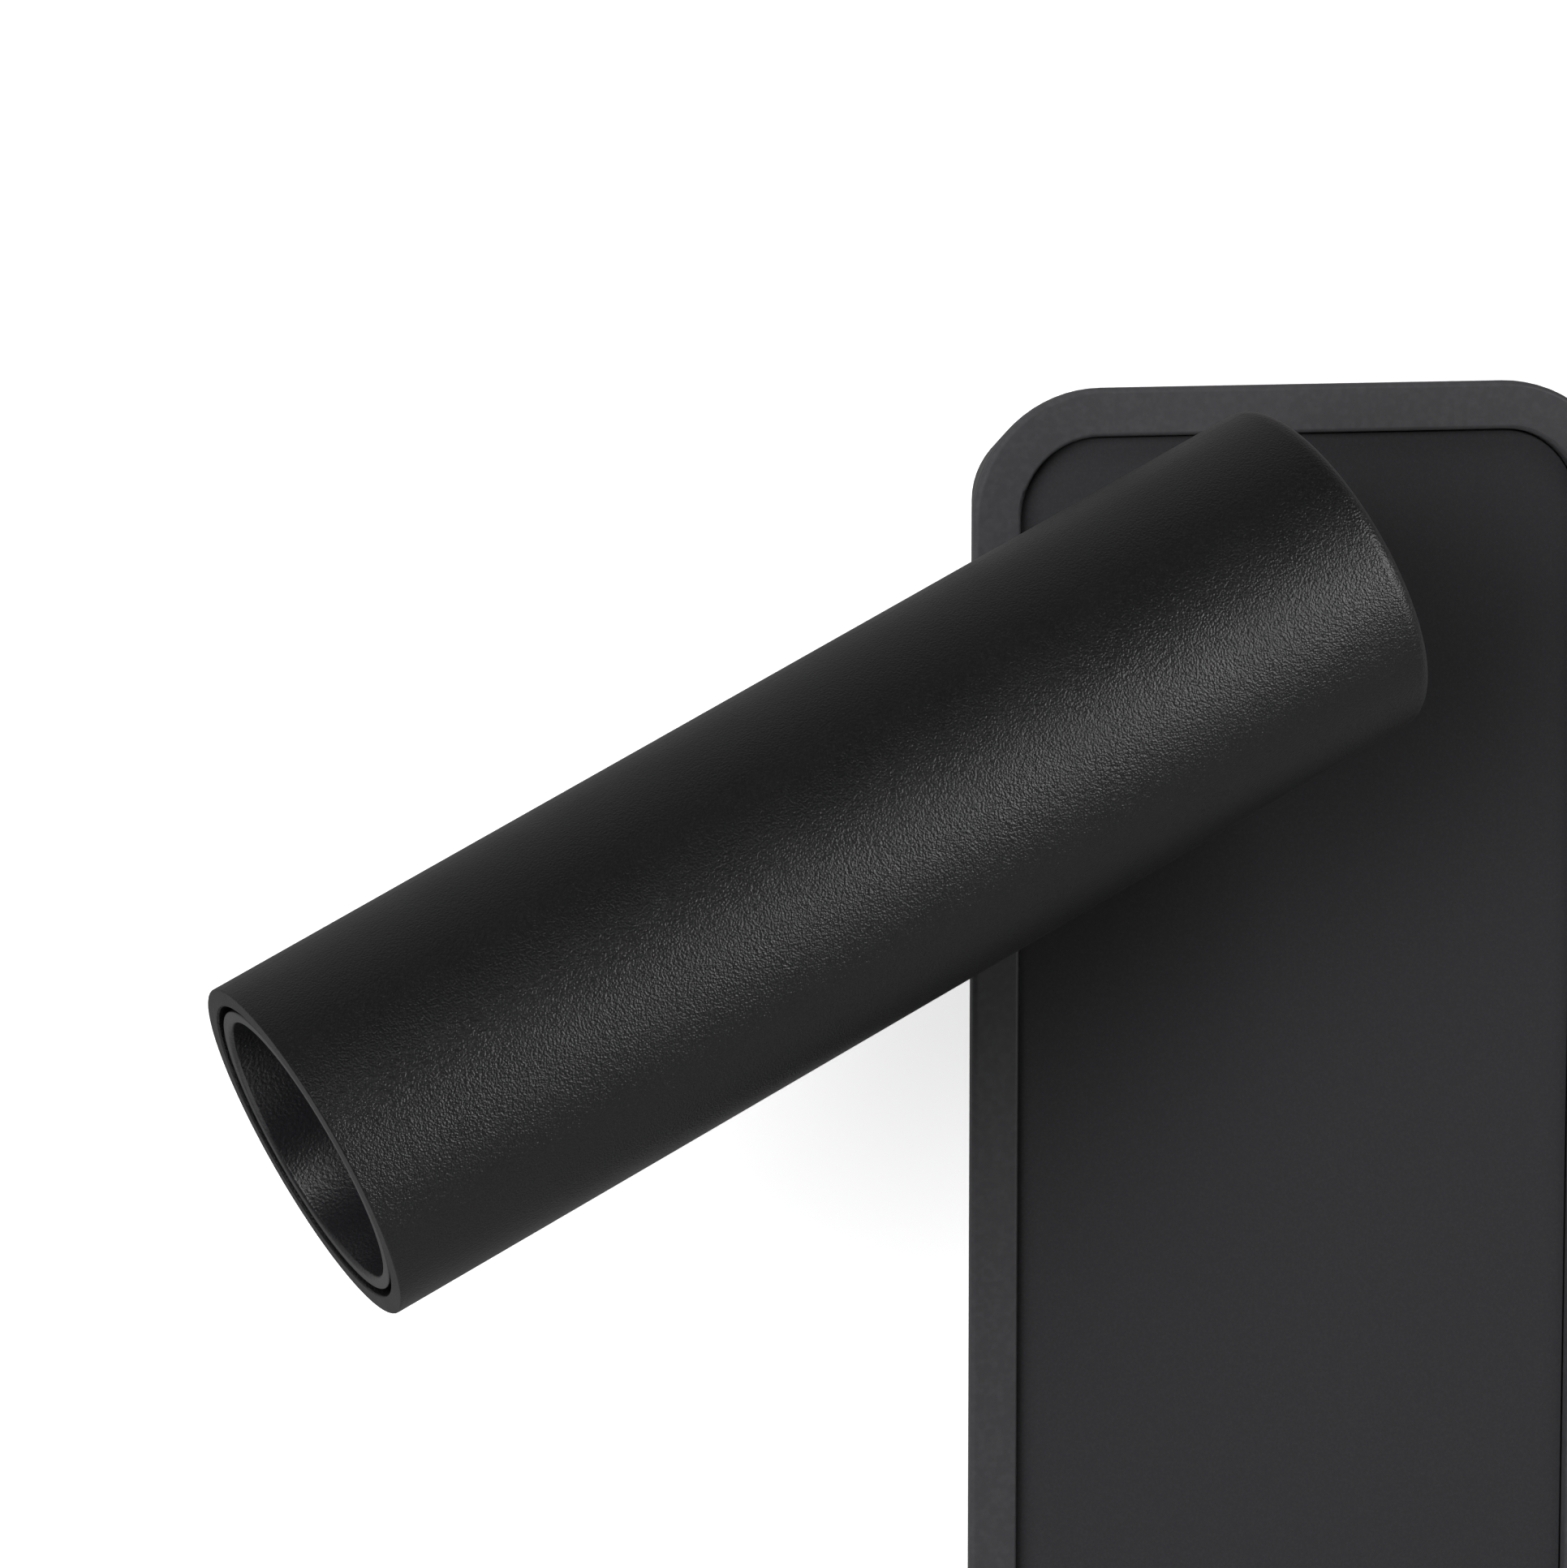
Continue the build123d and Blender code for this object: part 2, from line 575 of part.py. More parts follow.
def make_stop_washer():
    """Washer keyed on the stem's flats, with a lug that points the way the head does."""
    shape = Circle(STOP_WASHER_D / 2)
    shape += Pos(0, STOP_LUG_REACH / 2) * Rectangle(STOP_LUG_W, STOP_LUG_REACH)
    key = Circle(THREAD_D / 2 + BUSH_FIT) & Rectangle(STEM_D, THREAD_FLATS + 2 * BUSH_FIT)
    return SWIVEL * extrude(Pos(0, 0, STOP_BACK) * (shape - key), amount=STOP_WASHER_T)


def make_spring_washer():
    """Coned disc spring: its rim bears on the stop washer and its bore on the nut."""
    inner_r = THREAD_D / 2 + BUSH_FIT
    outer_r = SPRING_D / 2
    return SWIVEL * turned([
        (inner_r, SPRING_BACK), (outer_r, STOP_BACK - SPRING_T), (outer_r, STOP_BACK),
        (inner_r, SPRING_BACK + SPRING_T),
    ])


def make_lock_nut():
    """Nut on the stem's thread."""
    return SWIVEL * hex_nut(LOCK_NUT_AF, THREAD_D + 2 * BUSH_FIT, NUT_BACK, SPRING_BACK)


def make_lamp_tube():
    """Tube closed behind with a round edge, slotted towards the wall for the stem's swing."""
    outline = [
        (0, 0), (TUBE_R, 0), (TUBE_R, TUBE_LENGTH), (BORE_R, TUBE_LENGTH), (BORE_R, REAR_WALL), (0, REAR_WALL)
    ]
    tube = turned(outline, rounds=[
        ((TUBE_R, 0), REAR_EDGE_R),
        ((TUBE_R, TUBE_LENGTH), RIM_EDGE_R),
        ((BORE_R, TUBE_LENGTH), RIM_EDGE_R),
        ((BORE_R, REAR_WALL), REAR_EDGE_R),
    ])
    slot = Pos(0, PIN_FROM_REAR / 2) * Rectangle(2 * SLOT_R, PIN_FROM_REAR)
    slot += Pos(0, PIN_FROM_REAR) * Circle(SLOT_R)
    toward_wall = Plane((0, 0, 0), x_dir=(-1, 0, 0), z_dir=(0, 1, 0))
    tube -= extrude(toward_wall * slot, amount=TUBE_D)
    least_lean = math.radians(90 - TILT_MAX)
    slot_end = (PIN_FROM_REAR - REAR_WALL) * math.tan(least_lean)
    tube -= Pos(0, slot_end) * ring(2 * SLOT_R, 0, 0, REAR_WALL)
    for side in (1, -1):
        tube -= Pos(side * YOKE_SCREW_X, 0) * countersunk_screw(SCREW_CLEARANCE)
    return HEAD * tube


def countersunk_screw(clearance=0.0):
    """Screw with a flush head in the tube's rear face, or its hole where a clearance is given."""
    shank_r = YOKE_SCREW_D / 2 + clearance
    head_r = YOKE_HEAD_D / 2 + clearance
    tip = REAR_WALL + YOKE_T + YOKE_SCREW_PAST_FOOT
    return turned([(0, 0), (head_r, 0), (shank_r, head_r - shank_r), (shank_r, tip), (0, tip)])


def make_yoke_screws():
    """Two screws from the rear face into the yoke's feet."""
    return [HEAD * Pos(side * YOKE_SCREW_X, 0) * countersunk_screw() for side in (1, -1)]


def make_tilt_yoke():
    """Bent strip: two feet on the rear wall, two cheeks beside the stem's eye and a web in front."""
    foot_out = CHEEK_OUT + YOKE_FOOT
    foot_front = REAR_WALL + YOKE_T
    web_back = YOKE_FRONT_AT - YOKE_T
    half = [
        (0, YOKE_FRONT_AT), (CHEEK_OUT, YOKE_FRONT_AT), (CHEEK_OUT, foot_front), (foot_out, foot_front),
        (foot_out, REAR_WALL), (CHEEK_IN, REAR_WALL), (CHEEK_IN, web_back), (0, web_back),
    ]
    right = make_face(Polyline(*half, close=True))
    strip = right + mirror(right, Plane.YZ)
    yoke = extrude(Plane.XZ * strip, amount=YOKE_W / 2, both=True)
    yoke -= Pos(0, 0, PIN_FROM_REAR) * Rot(0, 90, 0) * Cylinder(BOLT_D / 2 + SCREW_CLEARANCE, 2 * CHEEK_OUT)
    for side in (1, -1):
        yoke -= Pos(side * YOKE_SCREW_X, 0) * ring(YOKE_SCREW_D + SCREW_CLEARANCE, 0, REAR_WALL, foot_front)
    return HEAD * yoke


def hinge_frame():
    """Frame at the hinge bolt's middle, Z along the bolt."""
    return HEAD * Pos(0, 0, PIN_FROM_REAR) * Rot(0, 90, 0)


def make_tilt_bolt():
    """Hinge bolt: its head bears on one cheek of the yoke."""
    tip = CHEEK_OUT + TILT_NUT_T
    shank = ring(BOLT_D, 0, -CHEEK_OUT, tip)
    head = ring(BOLT_HEAD_D, 0, -CHEEK_OUT - BOLT_HEAD_T, -CHEEK_OUT)
    return hinge_frame() * (shank + head)


def make_tilt_nut():
    """Nut on the hinge bolt, against the other cheek."""
    return hinge_frame() * hex_nut(TILT_NUT_AF, BOLT_D + 2 * BUSH_FIT, CHEEK_OUT, CHEEK_OUT + TILT_NUT_T)


def make_tilt_washers():
    """Friction washers on both sides of the stem's eye."""
    washer = ring(TILT_WASHER_D, BOLT_D + 2 * BUSH_FIT, TONGUE_T / 2, CHEEK_IN)
    return [hinge_frame() * washer, hinge_frame() * Rot(180, 0, 0) * washer]


def make_heat_sink():
    """Plug pressed into the tube's bore, with a solid face and fins cut from behind."""
    sink = ring(2 * BORE_R, 0, SINK_REAR_AT, SINK_FRONT_AT)
    depth = SINK_LENGTH - SINK_BASE_T
    for gap in range(FIN_GAP_COUNT):
        y = (gap - (FIN_GAP_COUNT - 1) / 2) * (FIN_T + FIN_GAP)
        sink -= Pos(0, y, SINK_REAR_AT) * Box(2 * BORE_R, FIN_GAP, depth, align=UPRIGHT)
    for side in (1, -1):
        thread_low = SINK_FRONT_AT - BOARD_SCREW_LENGTH + BOARD_T
        sink -= Pos(side * BOARD_SCREW_X, 0) * ring(SMALL_SCREW_D, 0, thread_low, SINK_FRONT_AT)
    return HEAD * sink


def make_led_board():
    """Round board on the heat sink's face, with two screw holes."""
    board = ring(BOARD_D, 0, SINK_FRONT_AT, BOARD_FRONT_AT)
    for side in (1, -1):
        hole_d = SMALL_SCREW_D + 2 * SCREW_CLEARANCE
        board -= Pos(side * BOARD_SCREW_X, 0) * ring(hole_d, 0, SINK_FRONT_AT, BOARD_FRONT_AT)
    return HEAD * board


def make_led_chip():
    """Light-emitting disc on the board."""
    return HEAD * ring(CHIP_D, 0, BOARD_FRONT_AT, CHIP_FRONT_AT)


def make_led_screws():
    """Two screws that hold the board on the heat sink."""
    screw = pan_screw(SMALL_SCREW_D, BOARD_SCREW_LENGTH, BOARD_HEAD_D, BOARD_HEAD_T)
    return [HEAD * Pos(side * BOARD_SCREW_X, 0, BOARD_FRONT_AT) * screw for side in (1, -1)]


def make_lens_holder():
    """Tapered cup round the lens, from the board to the lens's flange."""
    rear_r = LENS_REAR_D / 2 + HOLDER_CLEARANCE
    front_r = LENS_FRONT_D / 2 + HOLDER_CLEARANCE
    outer_r = HOLDER_D / 2
    cup = turned([
        (rear_r, BOARD_FRONT_AT), (outer_r, BOARD_FRONT_AT), (outer_r, FLANGE_BACK_AT), (front_r, FLANGE_BACK_AT)
    ])
    for side in (1, -1):
        pocket_d = BOARD_HEAD_D + 2 * HEAD_CLEARANCE
        pocket_top = BOARD_FRONT_AT + BOARD_HEAD_T + HEAD_CLEARANCE
        cup -= Pos(side * BOARD_SCREW_X, 0) * ring(pocket_d, 0, BOARD_FRONT_AT, pocket_top)
    return HEAD * cup


def make_lens():
    """Collimating lens: a cone with a pocket over the chip and a flange in front."""
    pocket_r = LENS_POCKET_D / 2
    pocket_top = LENS_REAR_AT + LENS_POCKET_DEPTH
    flange_r = LENS_FLANGE_D / 2
    front_r = LENS_FRONT_D / 2
    return HEAD * turned([
        (0, pocket_top), (pocket_r, pocket_top), (pocket_r, LENS_REAR_AT), (LENS_REAR_D / 2, LENS_REAR_AT),
        (front_r, FLANGE_BACK_AT), (flange_r, FLANGE_BACK_AT), (flange_r, LENS_FRONT_AT), (0, LENS_FRONT_AT),
    ])


def make_anti_glare_baffle():
    """Inner ring: a seat in the bore behind, a gap to the tube in front and a tapered inside."""
    seat_r = BORE_R - BAFFLE_FIT
    body_r = BORE_R - BAFFLE_GROOVE
    lip_r = body_r - BAFFLE_LIP_W
    seat_front = LENS_FRONT_AT + BAFFLE_SEAT_LENGTH
    outline = [
        (BAFFLE_WINDOW_D / 2, LENS_FRONT_AT), (seat_r, LENS_FRONT_AT), (seat_r, seat_front),
        (body_r, seat_front), (body_r, LIP_AT), (lip_r, LIP_AT),
    ]
    return HEAD * turned(outline, rounds=[((body_r, LIP_AT), BAFFLE_LIP_R), ((lip_r, LIP_AT), BAFFLE_MOUTH_R)])


NODES = {
    "wall_bracket": make_wall_bracket,
    "cable_grommet": make_cable_grommet,
    "base_housing": make_base_housing,
    "housing_screws": make_housing_screws,
    "front_panel": make_front_panel,
    "panel_retainers": make_panel_retainers,
    "led_driver": make_led_driver,
    "driver_screws": make_driver_screws,
    "terminal_block": make_terminal_block,
    "terminal_block_screw": make_terminal_block_screw,
    "earth_screw": make_earth_screw,
    "driver_leads": make_driver_leads,
    "pivot_bush": make_pivot_bush,
    "stop_pin": make_stop_pin,
    "pivot_stem": make_pivot_stem,
    "pivot_collar": make_pivot_collar,
    "friction_washer": make_friction_washer,
    "stop_washer": make_stop_washer,
    "spring_washer": make_spring_washer,
    "lock_nut": make_lock_nut,
    "lamp_tube": make_lamp_tube,
    "tilt_yoke": make_tilt_yoke,
    "yoke_screws": make_yoke_screws,
    "tilt_bolt": make_tilt_bolt,
    "tilt_nut": make_tilt_nut,
    "tilt_washers": make_tilt_washers,
    "heat_sink": make_heat_sink,
    "led_board": make_led_board,
    "led_chip": make_led_chip,
    "led_screws": make_led_screws,
    "lens_holder": make_lens_holder,
    "lens": make_lens,
    "anti_glare_baffle": make_anti_glare_baffle,
}

os.makedirs("parts", exist_ok=True)
for node, make in NODES.items():
    made = make()
    if isinstance(made, list):
        made = Compound(children=made)
    made.label = node
    export_step(made, f"parts/{node}.step")
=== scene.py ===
"""Wall reading lamp: finishes, threaded screws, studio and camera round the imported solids.

Metres, +Z up. The wall is the plane Y = 0 and the room is at -Y.
"""

import json
import logging
import math
from collections.abc import Callable
from dataclasses import dataclass
from enum import Enum

import bpy
from mathutils import Matrix, Vector


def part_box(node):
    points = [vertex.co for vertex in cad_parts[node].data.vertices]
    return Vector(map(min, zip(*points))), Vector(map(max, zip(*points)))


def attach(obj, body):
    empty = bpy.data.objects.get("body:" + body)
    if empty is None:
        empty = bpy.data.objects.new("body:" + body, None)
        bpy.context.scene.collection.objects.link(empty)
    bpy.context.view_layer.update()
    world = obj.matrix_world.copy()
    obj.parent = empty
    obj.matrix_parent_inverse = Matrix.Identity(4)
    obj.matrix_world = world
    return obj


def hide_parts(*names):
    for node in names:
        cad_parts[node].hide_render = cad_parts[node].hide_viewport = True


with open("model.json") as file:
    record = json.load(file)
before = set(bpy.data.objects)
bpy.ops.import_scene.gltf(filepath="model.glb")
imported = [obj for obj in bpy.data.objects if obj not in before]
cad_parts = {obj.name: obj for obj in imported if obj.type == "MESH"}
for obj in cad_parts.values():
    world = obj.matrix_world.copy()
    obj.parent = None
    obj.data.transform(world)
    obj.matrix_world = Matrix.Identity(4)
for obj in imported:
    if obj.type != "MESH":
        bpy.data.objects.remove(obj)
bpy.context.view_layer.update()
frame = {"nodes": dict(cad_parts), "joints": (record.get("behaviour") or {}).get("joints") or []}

LOG = logging.getLogger("reading_lamp")
MM = 0.001
INTO_WALL = Vector((0.0, 1.0, 0.0))
WHITE = "#ffffff"
# Most of a noise lies between these values
NOISE_LOW = 0.3
NOISE_HIGH = 0.7
# A face whose normal has more than the first along Z is an end, and with less than the second it is a side
END_FACE = 0.9
SIDE_FACE = 0.1
# Points this near to each other are one
MERGE = MM / 1000


class Body(Enum):
    """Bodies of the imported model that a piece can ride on."""

    BASE = "base"
    SWIVEL = "swivel"
    HEAD = "head"


class HeadForm(Enum):
    """Form of a screw's head."""

    PAN = "pan"
    COUNTERSUNK = "countersunk"


class Layers(Enum):
    """How many finer layers a noise has."""

    GRAIN = 1.0
    PLAIN = 2.0
    CLOUDS = 3.0
    PATCHES = 4.0


def srgb(code: str) -> tuple[float, float, float, float]:
    """Turns an sRGB hex code into a linear colour.

    Args:
        code: Six hex digits, with or without a leading #.

    Returns:
        Linear red, green, blue and an alpha of 1.
    """
    digits = code.lstrip("#")
    parts = [int(digits[at:at + 2], 16) / 255 for at in (0, 2, 4)]
    linear = [p / 12.92 if p <= 0.04045 else ((p + 0.055) / 1.055) ** 2.4 for p in parts]
    return (*linear, 1.0)


def per_mm(size_mm: float) -> float:
    """Gives a texture's scale.

    Args:
        size_mm: Distance between the pattern's features, in millimetres.

    Returns:
        The scale that puts the features that far apart in object coordinates.
    """
    return 1 / (size_mm * MM)


def blank_tree(holder: bpy.types.Material | bpy.types.World) -> bpy.types.NodeTree:
    """Empties a material's or the world's nodes.

    Args:
        holder: The material or world.

    Returns:
        Its empty node tree.
    """
    holder.use_nodes = True
    holder.node_tree.nodes.clear()
    return holder.node_tree


def add_node(tree: bpy.types.NodeTree, kind: str, inputs: dict[str | int, object] | None = None,
             **settings: object) -> bpy.types.Node:
    """Adds a node with its settings, its input values and its links.

    Args:
        tree: Node tree that takes the node.
        kind: Node type, such as "ShaderNodeTexNoise".
        inputs: Input name or number to a value, or to the output socket that feeds it.
        **settings: Node properties by name.

    Returns:
        The new node.
    """
    node = tree.nodes.new(kind)
    for name, value in settings.items():
        setattr(node, name, value)
    for key, value in (inputs or {}).items():
        if isinstance(value, bpy.types.NodeSocket):
            tree.links.new(value, node.inputs[key])
        else:
            node.inputs[key].default_value = value
    return node


@dataclass(frozen=True)
class Finish:
    """A surface finish: a named material, made on first use.

    Attributes:
        name: What the material is and how its surface was made.
        colour: Its main colour, as an sRGB hex code.
        shade: The colour that its pattern goes to.
        roughness: Its mean roughness.
        grain_mm: Size of its grain.
        relief_mm: Height of its grain.
    """

    name: str
    colour: str
    shade: str
    roughness: float
    grain_mm: float
    relief_mm: float

    def material(self) -> bpy.types.Material:
        """Makes the material, or finds it again.

        Returns:
            The finish's material.
        """
        made = bpy.data.materials.get(self.name)
        if made is None:
            made = bpy.data.materials.new(self.name)
            tree = blank_tree(made)
            shader = add_node(tree, "ShaderNodeBsdfPrincipled", {"Roughness": self.roughness})
            add_node(tree, "ShaderNodeOutputMaterial", {"Surface": shader.outputs["BSDF"]})
            place = add_node(tree, "ShaderNodeTexCoord").outputs["Object"]
            self.detail(tree, shader, place)
        return made

    def detail(self, tree: bpy.types.NodeTree, shader: bpy.types.Node, place: bpy.types.NodeSocket) -> None:
        """Adds what the surface shows close by.

        Args:
            tree: The material's node tree.
            shader: Its Principled shader.
            place: Object coordinates, in metres.
        """
        raise NotImplementedError

    def tint(self, tree: bpy.types.NodeTree, shader: bpy.types.Node, pattern: bpy.types.NodeSocket,
             low: float = 0.35, high: float = 0.65) -> None:
        """Colours the surface from the finish's colour to its shade.

        Args:
            tree: The material's node tree.
            shader: Its Principled shader.
            pattern: Pattern that chooses between the two.
            low: Pattern value that gives the colour.
            high: Pattern value that gives the shade.
        """
        share = add_node(tree, "ShaderNodeMapRange", {"Value": pattern, "From Min": low, "From Max": high})
        colour = add_node(tree, "ShaderNodeMix", {
            "Factor": share.outputs["Result"], "A": srgb(self.colour), "B": srgb(self.shade),
        }, data_type="RGBA")
        tree.links.new(colour.outputs["Result"], shader.inputs["Base Color"])

    def gloss(self, tree: bpy.types.NodeTree, shader: bpy.types.Node, pattern: bpy.types.NodeSocket,
              spread: float) -> None:
        """Varies the roughness.

        Args:
            tree: The material's node tree.
            shader: Its Principled shader.
            pattern: Noise that the roughness follows.
            spread: Difference between the dullest and the glossiest spots.
        """
        rough = add_node(tree, "ShaderNodeMapRange", {
            "Value": pattern, "From Min": NOISE_LOW, "From Max": NOISE_HIGH,
            "To Min": self.roughness - spread / 2, "To Max": self.roughness + spread / 2,
        })
        tree.links.new(rough.outputs["Result"], shader.inputs["Roughness"])

    def emboss(self, tree: bpy.types.NodeTree, shader: bpy.types.Node, height: bpy.types.NodeSocket) -> None:
        """Raises the surface by the finish's relief.

        Args:
            tree: The material's node tree.
            shader: Its Principled shader.
            height: Pattern from 0 to 1.
        """
        bump = add_node(tree, "ShaderNodeBump", {
            "Height": height, "Distance": self.relief_mm * MM, "Strength": 1.0,
        })
        tree.links.new(bump.outputs["Normal"], shader.inputs["Normal"])


@dataclass(frozen=True)
class PowderCoat(Finish):
    """Sprayed and baked polyester powder: a dark film with fine sandy grains.

    Attributes:
        specular: How much the film mirrors, 0.5 for a plain lacquer.
        cloud_mm: Size of the patches of duller film.
        spread: How much the patches differ in roughness.
        film_level: Height of the grain below which the film has its own colour.
        top_level: Height of the grain above which it is paler.
    """

    specular: float = 0.5
    cloud_mm: float = 9.0
    spread: float = 0.06
    film_level: float = 0.4
    top_level: float = 0.75

    def detail(self, tree: bpy.types.NodeTree, shader: bpy.types.Node, place: bpy.types.NodeSocket) -> None:
        """Adds the grains, their paler tops and the patches of duller film.

        Args:
            tree: The material's node tree.
            shader: Its Principled shader.
            place: Object coordinates, in metres.
        """
        shader.inputs["Specular IOR Level"].default_value = self.specular
        # Grains of cured powder stand up from the film and break a highlight into sparkles
        grain = add_node(tree, "ShaderNodeTexNoise", {
            "Vector": place, "Scale": per_mm(self.grain_mm), "Detail": Layers.GRAIN.value,
        })
        self.emboss(tree, shader, grain.outputs["Fac"])
        # The tops of the grains are a little paler than the film between them
        self.tint(tree, shader, grain.outputs["Fac"], self.film_level, self.top_level)
        # The film's gloss drifts over about a centimetre
        clouds = add_node(tree, "ShaderNodeTexNoise", {
            "Vector": place, "Scale": per_mm(self.cloud_mm), "Detail": Layers.CLOUDS.value,
        })
        self.gloss(tree, shader, clouds.outputs["Fac"], self.spread)


@dataclass(frozen=True)
class Metal(Finish):
    """Bare, plated or blackened metal with the fine lines of its rolling, drawing or turning.

    Attributes:
        line_length_mm: Length of the lines, which are as wide as the grain.
        turn_deg: Turn that brings the lines to Z.
        patch_mm: Size of the patches of plating or oxide.
        spread: How much the lines differ in roughness.
    """

    line_length_mm: float = 6.0
    turn_deg: tuple[float, float, float] = (0.0, 0.0, 0.0)
    patch_mm: float = 4.0
    spread: float = 0.16

    def detail(self, tree: bpy.types.NodeTree, shader: bpy.types.Node, place: bpy.types.NodeSocket) -> None:
        """Adds the lines and the skin's cloudy patches.

        Args:
            tree: The material's node tree.
            shader: Its Principled shader.
            place: Object coordinates, in metres.
        """
        shader.inputs["Metallic"].default_value = 1.0
        turned = add_node(tree, "ShaderNodeMapping", {
            "Vector": place, "Rotation": tuple(math.radians(angle) for angle in self.turn_deg),
        })
        thin = self.grain_mm / self.line_length_mm
        drawn = add_node(tree, "ShaderNodeMapping", {
            "Vector": turned.outputs["Vector"], "Scale": (1.0, 1.0, thin),
        })
        # Hair lines along the metal stretch its reflections across them
        # They are drawn wider than real ones so that they show
        lines = add_node(tree, "ShaderNodeTexNoise", {
            "Vector": drawn.outputs["Vector"], "Scale": per_mm(self.grain_mm), "Detail": Layers.CLOUDS.value,
        })
        self.gloss(tree, shader, lines.outputs["Fac"], self.spread)
        self.emboss(tree, shader, lines.outputs["Fac"])
        # Plating and oxide lie in soft patches a few millimetres wide
        patches = add_node(tree, "ShaderNodeTexNoise", {
            "Vector": place, "Scale": per_mm(self.patch_mm), "Detail": Layers.PATCHES.value,
        })
        self.tint(tree, shader, patches.outputs["Fac"])


@dataclass(frozen=True)
class Moulded(Finish):
    """Moulded plastic or rubber with the fine grain of a spark-eroded mould.

    Attributes:
        specular: How much the skin mirrors, 0.5 for most plastics.
        flow_mm: Size of the flow marks.
        spread: How much the grain varies the roughness.
    """

    specular: float = 0.5
    flow_mm: float = 12.0
    spread: float = 0.14

    def detail(self, tree: bpy.types.NodeTree, shader: bpy.types.Node, place: bpy.types.NodeSocket) -> None:
        """Adds the mould's grain and slow flow marks in the colour.

        Args:
            tree: The material's node tree.
            shader: Its Principled shader.
            place: Object coordinates, in metres.
        """
        shader.inputs["Specular IOR Level"].default_value = self.specular
        # The mould's grain softens the gloss, and is drawn coarser than a real one so that it shows
        grain = add_node(tree, "ShaderNodeTexNoise", {
            "Vector": place, "Scale": per_mm(self.grain_mm), "Detail": Layers.PLAIN.value,
        })
        self.emboss(tree, shader, grain.outputs["Fac"])
        self.gloss(tree, shader, grain.outputs["Fac"], self.spread)
        # Where the melt flowed the colour is a touch darker
        flow = add_node(tree, "ShaderNodeTexNoise", {
            "Vector": place, "Scale": per_mm(self.flow_mm), "Detail": Layers.PLAIN.value,
        })
        self.tint(tree, shader, flow.outputs["Fac"])


@dataclass(frozen=True)
class TwoWires(Finish):
    """Insulation of two leads side by side: the colour on the left one, the shade on the right one.

    Attributes:
        node: CAD node of the leads.
        edge_mm: Half the width of the change from one colour to the other.
        spread: How much the ripple varies the roughness.
    """

    node: str = ""
    edge_mm: float = 0.1
    spread: float = 0.1

    def detail(self, tree: bpy.types.NodeTree, shader: bpy.types.Node, place: bpy.types.NodeSocket) -> None:
        """Adds the two colours and the drawn sleeve's faint ripple.

        Args:
            tree: The material's node tree.
            shader: Its Principled shader.
            place: Object coordinates, in metres.
        """
        low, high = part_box(self.node)
        middle = (low.x + high.x) / 2
        edge = self.edge_mm * MM
        across = add_node(tree, "ShaderNodeSeparateXYZ", {"Vector": place})
        # Brown live and blue neutral, as mains leads are coloured
        self.tint(tree, shader, across.outputs["X"], middle - edge, middle + edge)
        # The sleeve is drawn over the wire and ripples a little in its shine
        ripple = add_node(tree, "ShaderNodeTexNoise", {
            "Vector": place, "Scale": per_mm(self.grain_mm), "Detail": Layers.PLAIN.value,
        })
        self.gloss(tree, shader, ripple.outputs["Fac"], self.spread)
        self.emboss(tree, shader, ripple.outputs["Fac"])


@dataclass(frozen=True)
class Clear(Finish):
    """Clear moulded acrylic with a faint waviness.

    Attributes:
        ior: How strongly it bends light.
    """

    ior: float = 1.49

    def detail(self, tree: bpy.types.NodeTree, shader: bpy.types.Node, place: bpy.types.NodeSocket) -> None:
        """Makes the piece see-through and lets its faces wave a little.

        Args:
            tree: The material's node tree.
            shader: Its Principled shader.
            place: Object coordinates, in metres.
        """
        shader.inputs["Transmission Weight"].default_value = 1.0
        shader.inputs["IOR"].default_value = self.ior
        # Shrink marks bend what is seen through the lens
        wave = add_node(tree, "ShaderNodeTexNoise", {
            "Vector": place, "Scale": per_mm(self.grain_mm), "Detail": Layers.PLAIN.value,
        })
        self.emboss(tree, shader, wave.outputs["Fac"])
        self.tint(tree, shader, wave.outputs["Fac"])


# Textured powder on the aluminium tube: deep black, with sandy sparkles all along the highlight
TUBE_COAT = PowderCoat("sandy_black_powder_coat", "#0e0e0e", "#131314",
                       roughness=0.38, grain_mm=0.25, relief_mm=0.11)
# The same powder on the rough skin of a casting: a dull charcoal with a faint mottle, painted paler than the
# panel as painted light on the rim
RIM_COAT = PowderCoat("black_powder_coat_on_casting_with_painted_light", "#404042", "#464648",
                      roughness=0.5, grain_mm=0.8, relief_mm=0.012, specular=0.2)
# A thin even coat on rolled sheet: flat, nearly without shine
PANEL_COAT = PowderCoat("fine_black_powder_coat_on_sheet", "#363638", "#3a3a3c",
                        roughness=0.55, grain_mm=0.3, relief_mm=0.01, specular=0.05)
# A coarse coat inside the front ring: pebbles that glitter where the light gets in
BAFFLE_COAT = PowderCoat("coarse_black_powder_coat", "#151517", "#1b1b1d",
                         roughness=0.3, grain_mm=0.34, relief_mm=0.05, specular=1.0)
# Oxide over rolled steel: soft dark reflections in short lines
BLACK_STEEL = Metal("blackened_steel", "#2c2c2d", "#252526", roughness=0.42, grain_mm=0.2, relief_mm=0.004)
# Bright zinc: pale, a little cold, with cloudy patches
ZINC = Metal("zinc_plated_steel", "#b9bcc0", "#8b8e92", roughness=0.36, grain_mm=0.25, relief_mm=0.004)
# Hardened and tempered strip: a grey that turns bluish in places
SPRING = Metal("tempered_spring_steel", "#7d7b78", "#5d5f66", roughness=0.34, grain_mm=0.2, relief_mm=0.004)
# Extruded bar: long die lines that run along the tube
ALUMINIUM = Metal("extruded_aluminium", "#c3c5c7", "#a9acb0", roughness=0.4, grain_mm=0.3, relief_mm=0.006,
                  line_length_mm=25.0, turn_deg=(0.0, 64.0, 0.0))
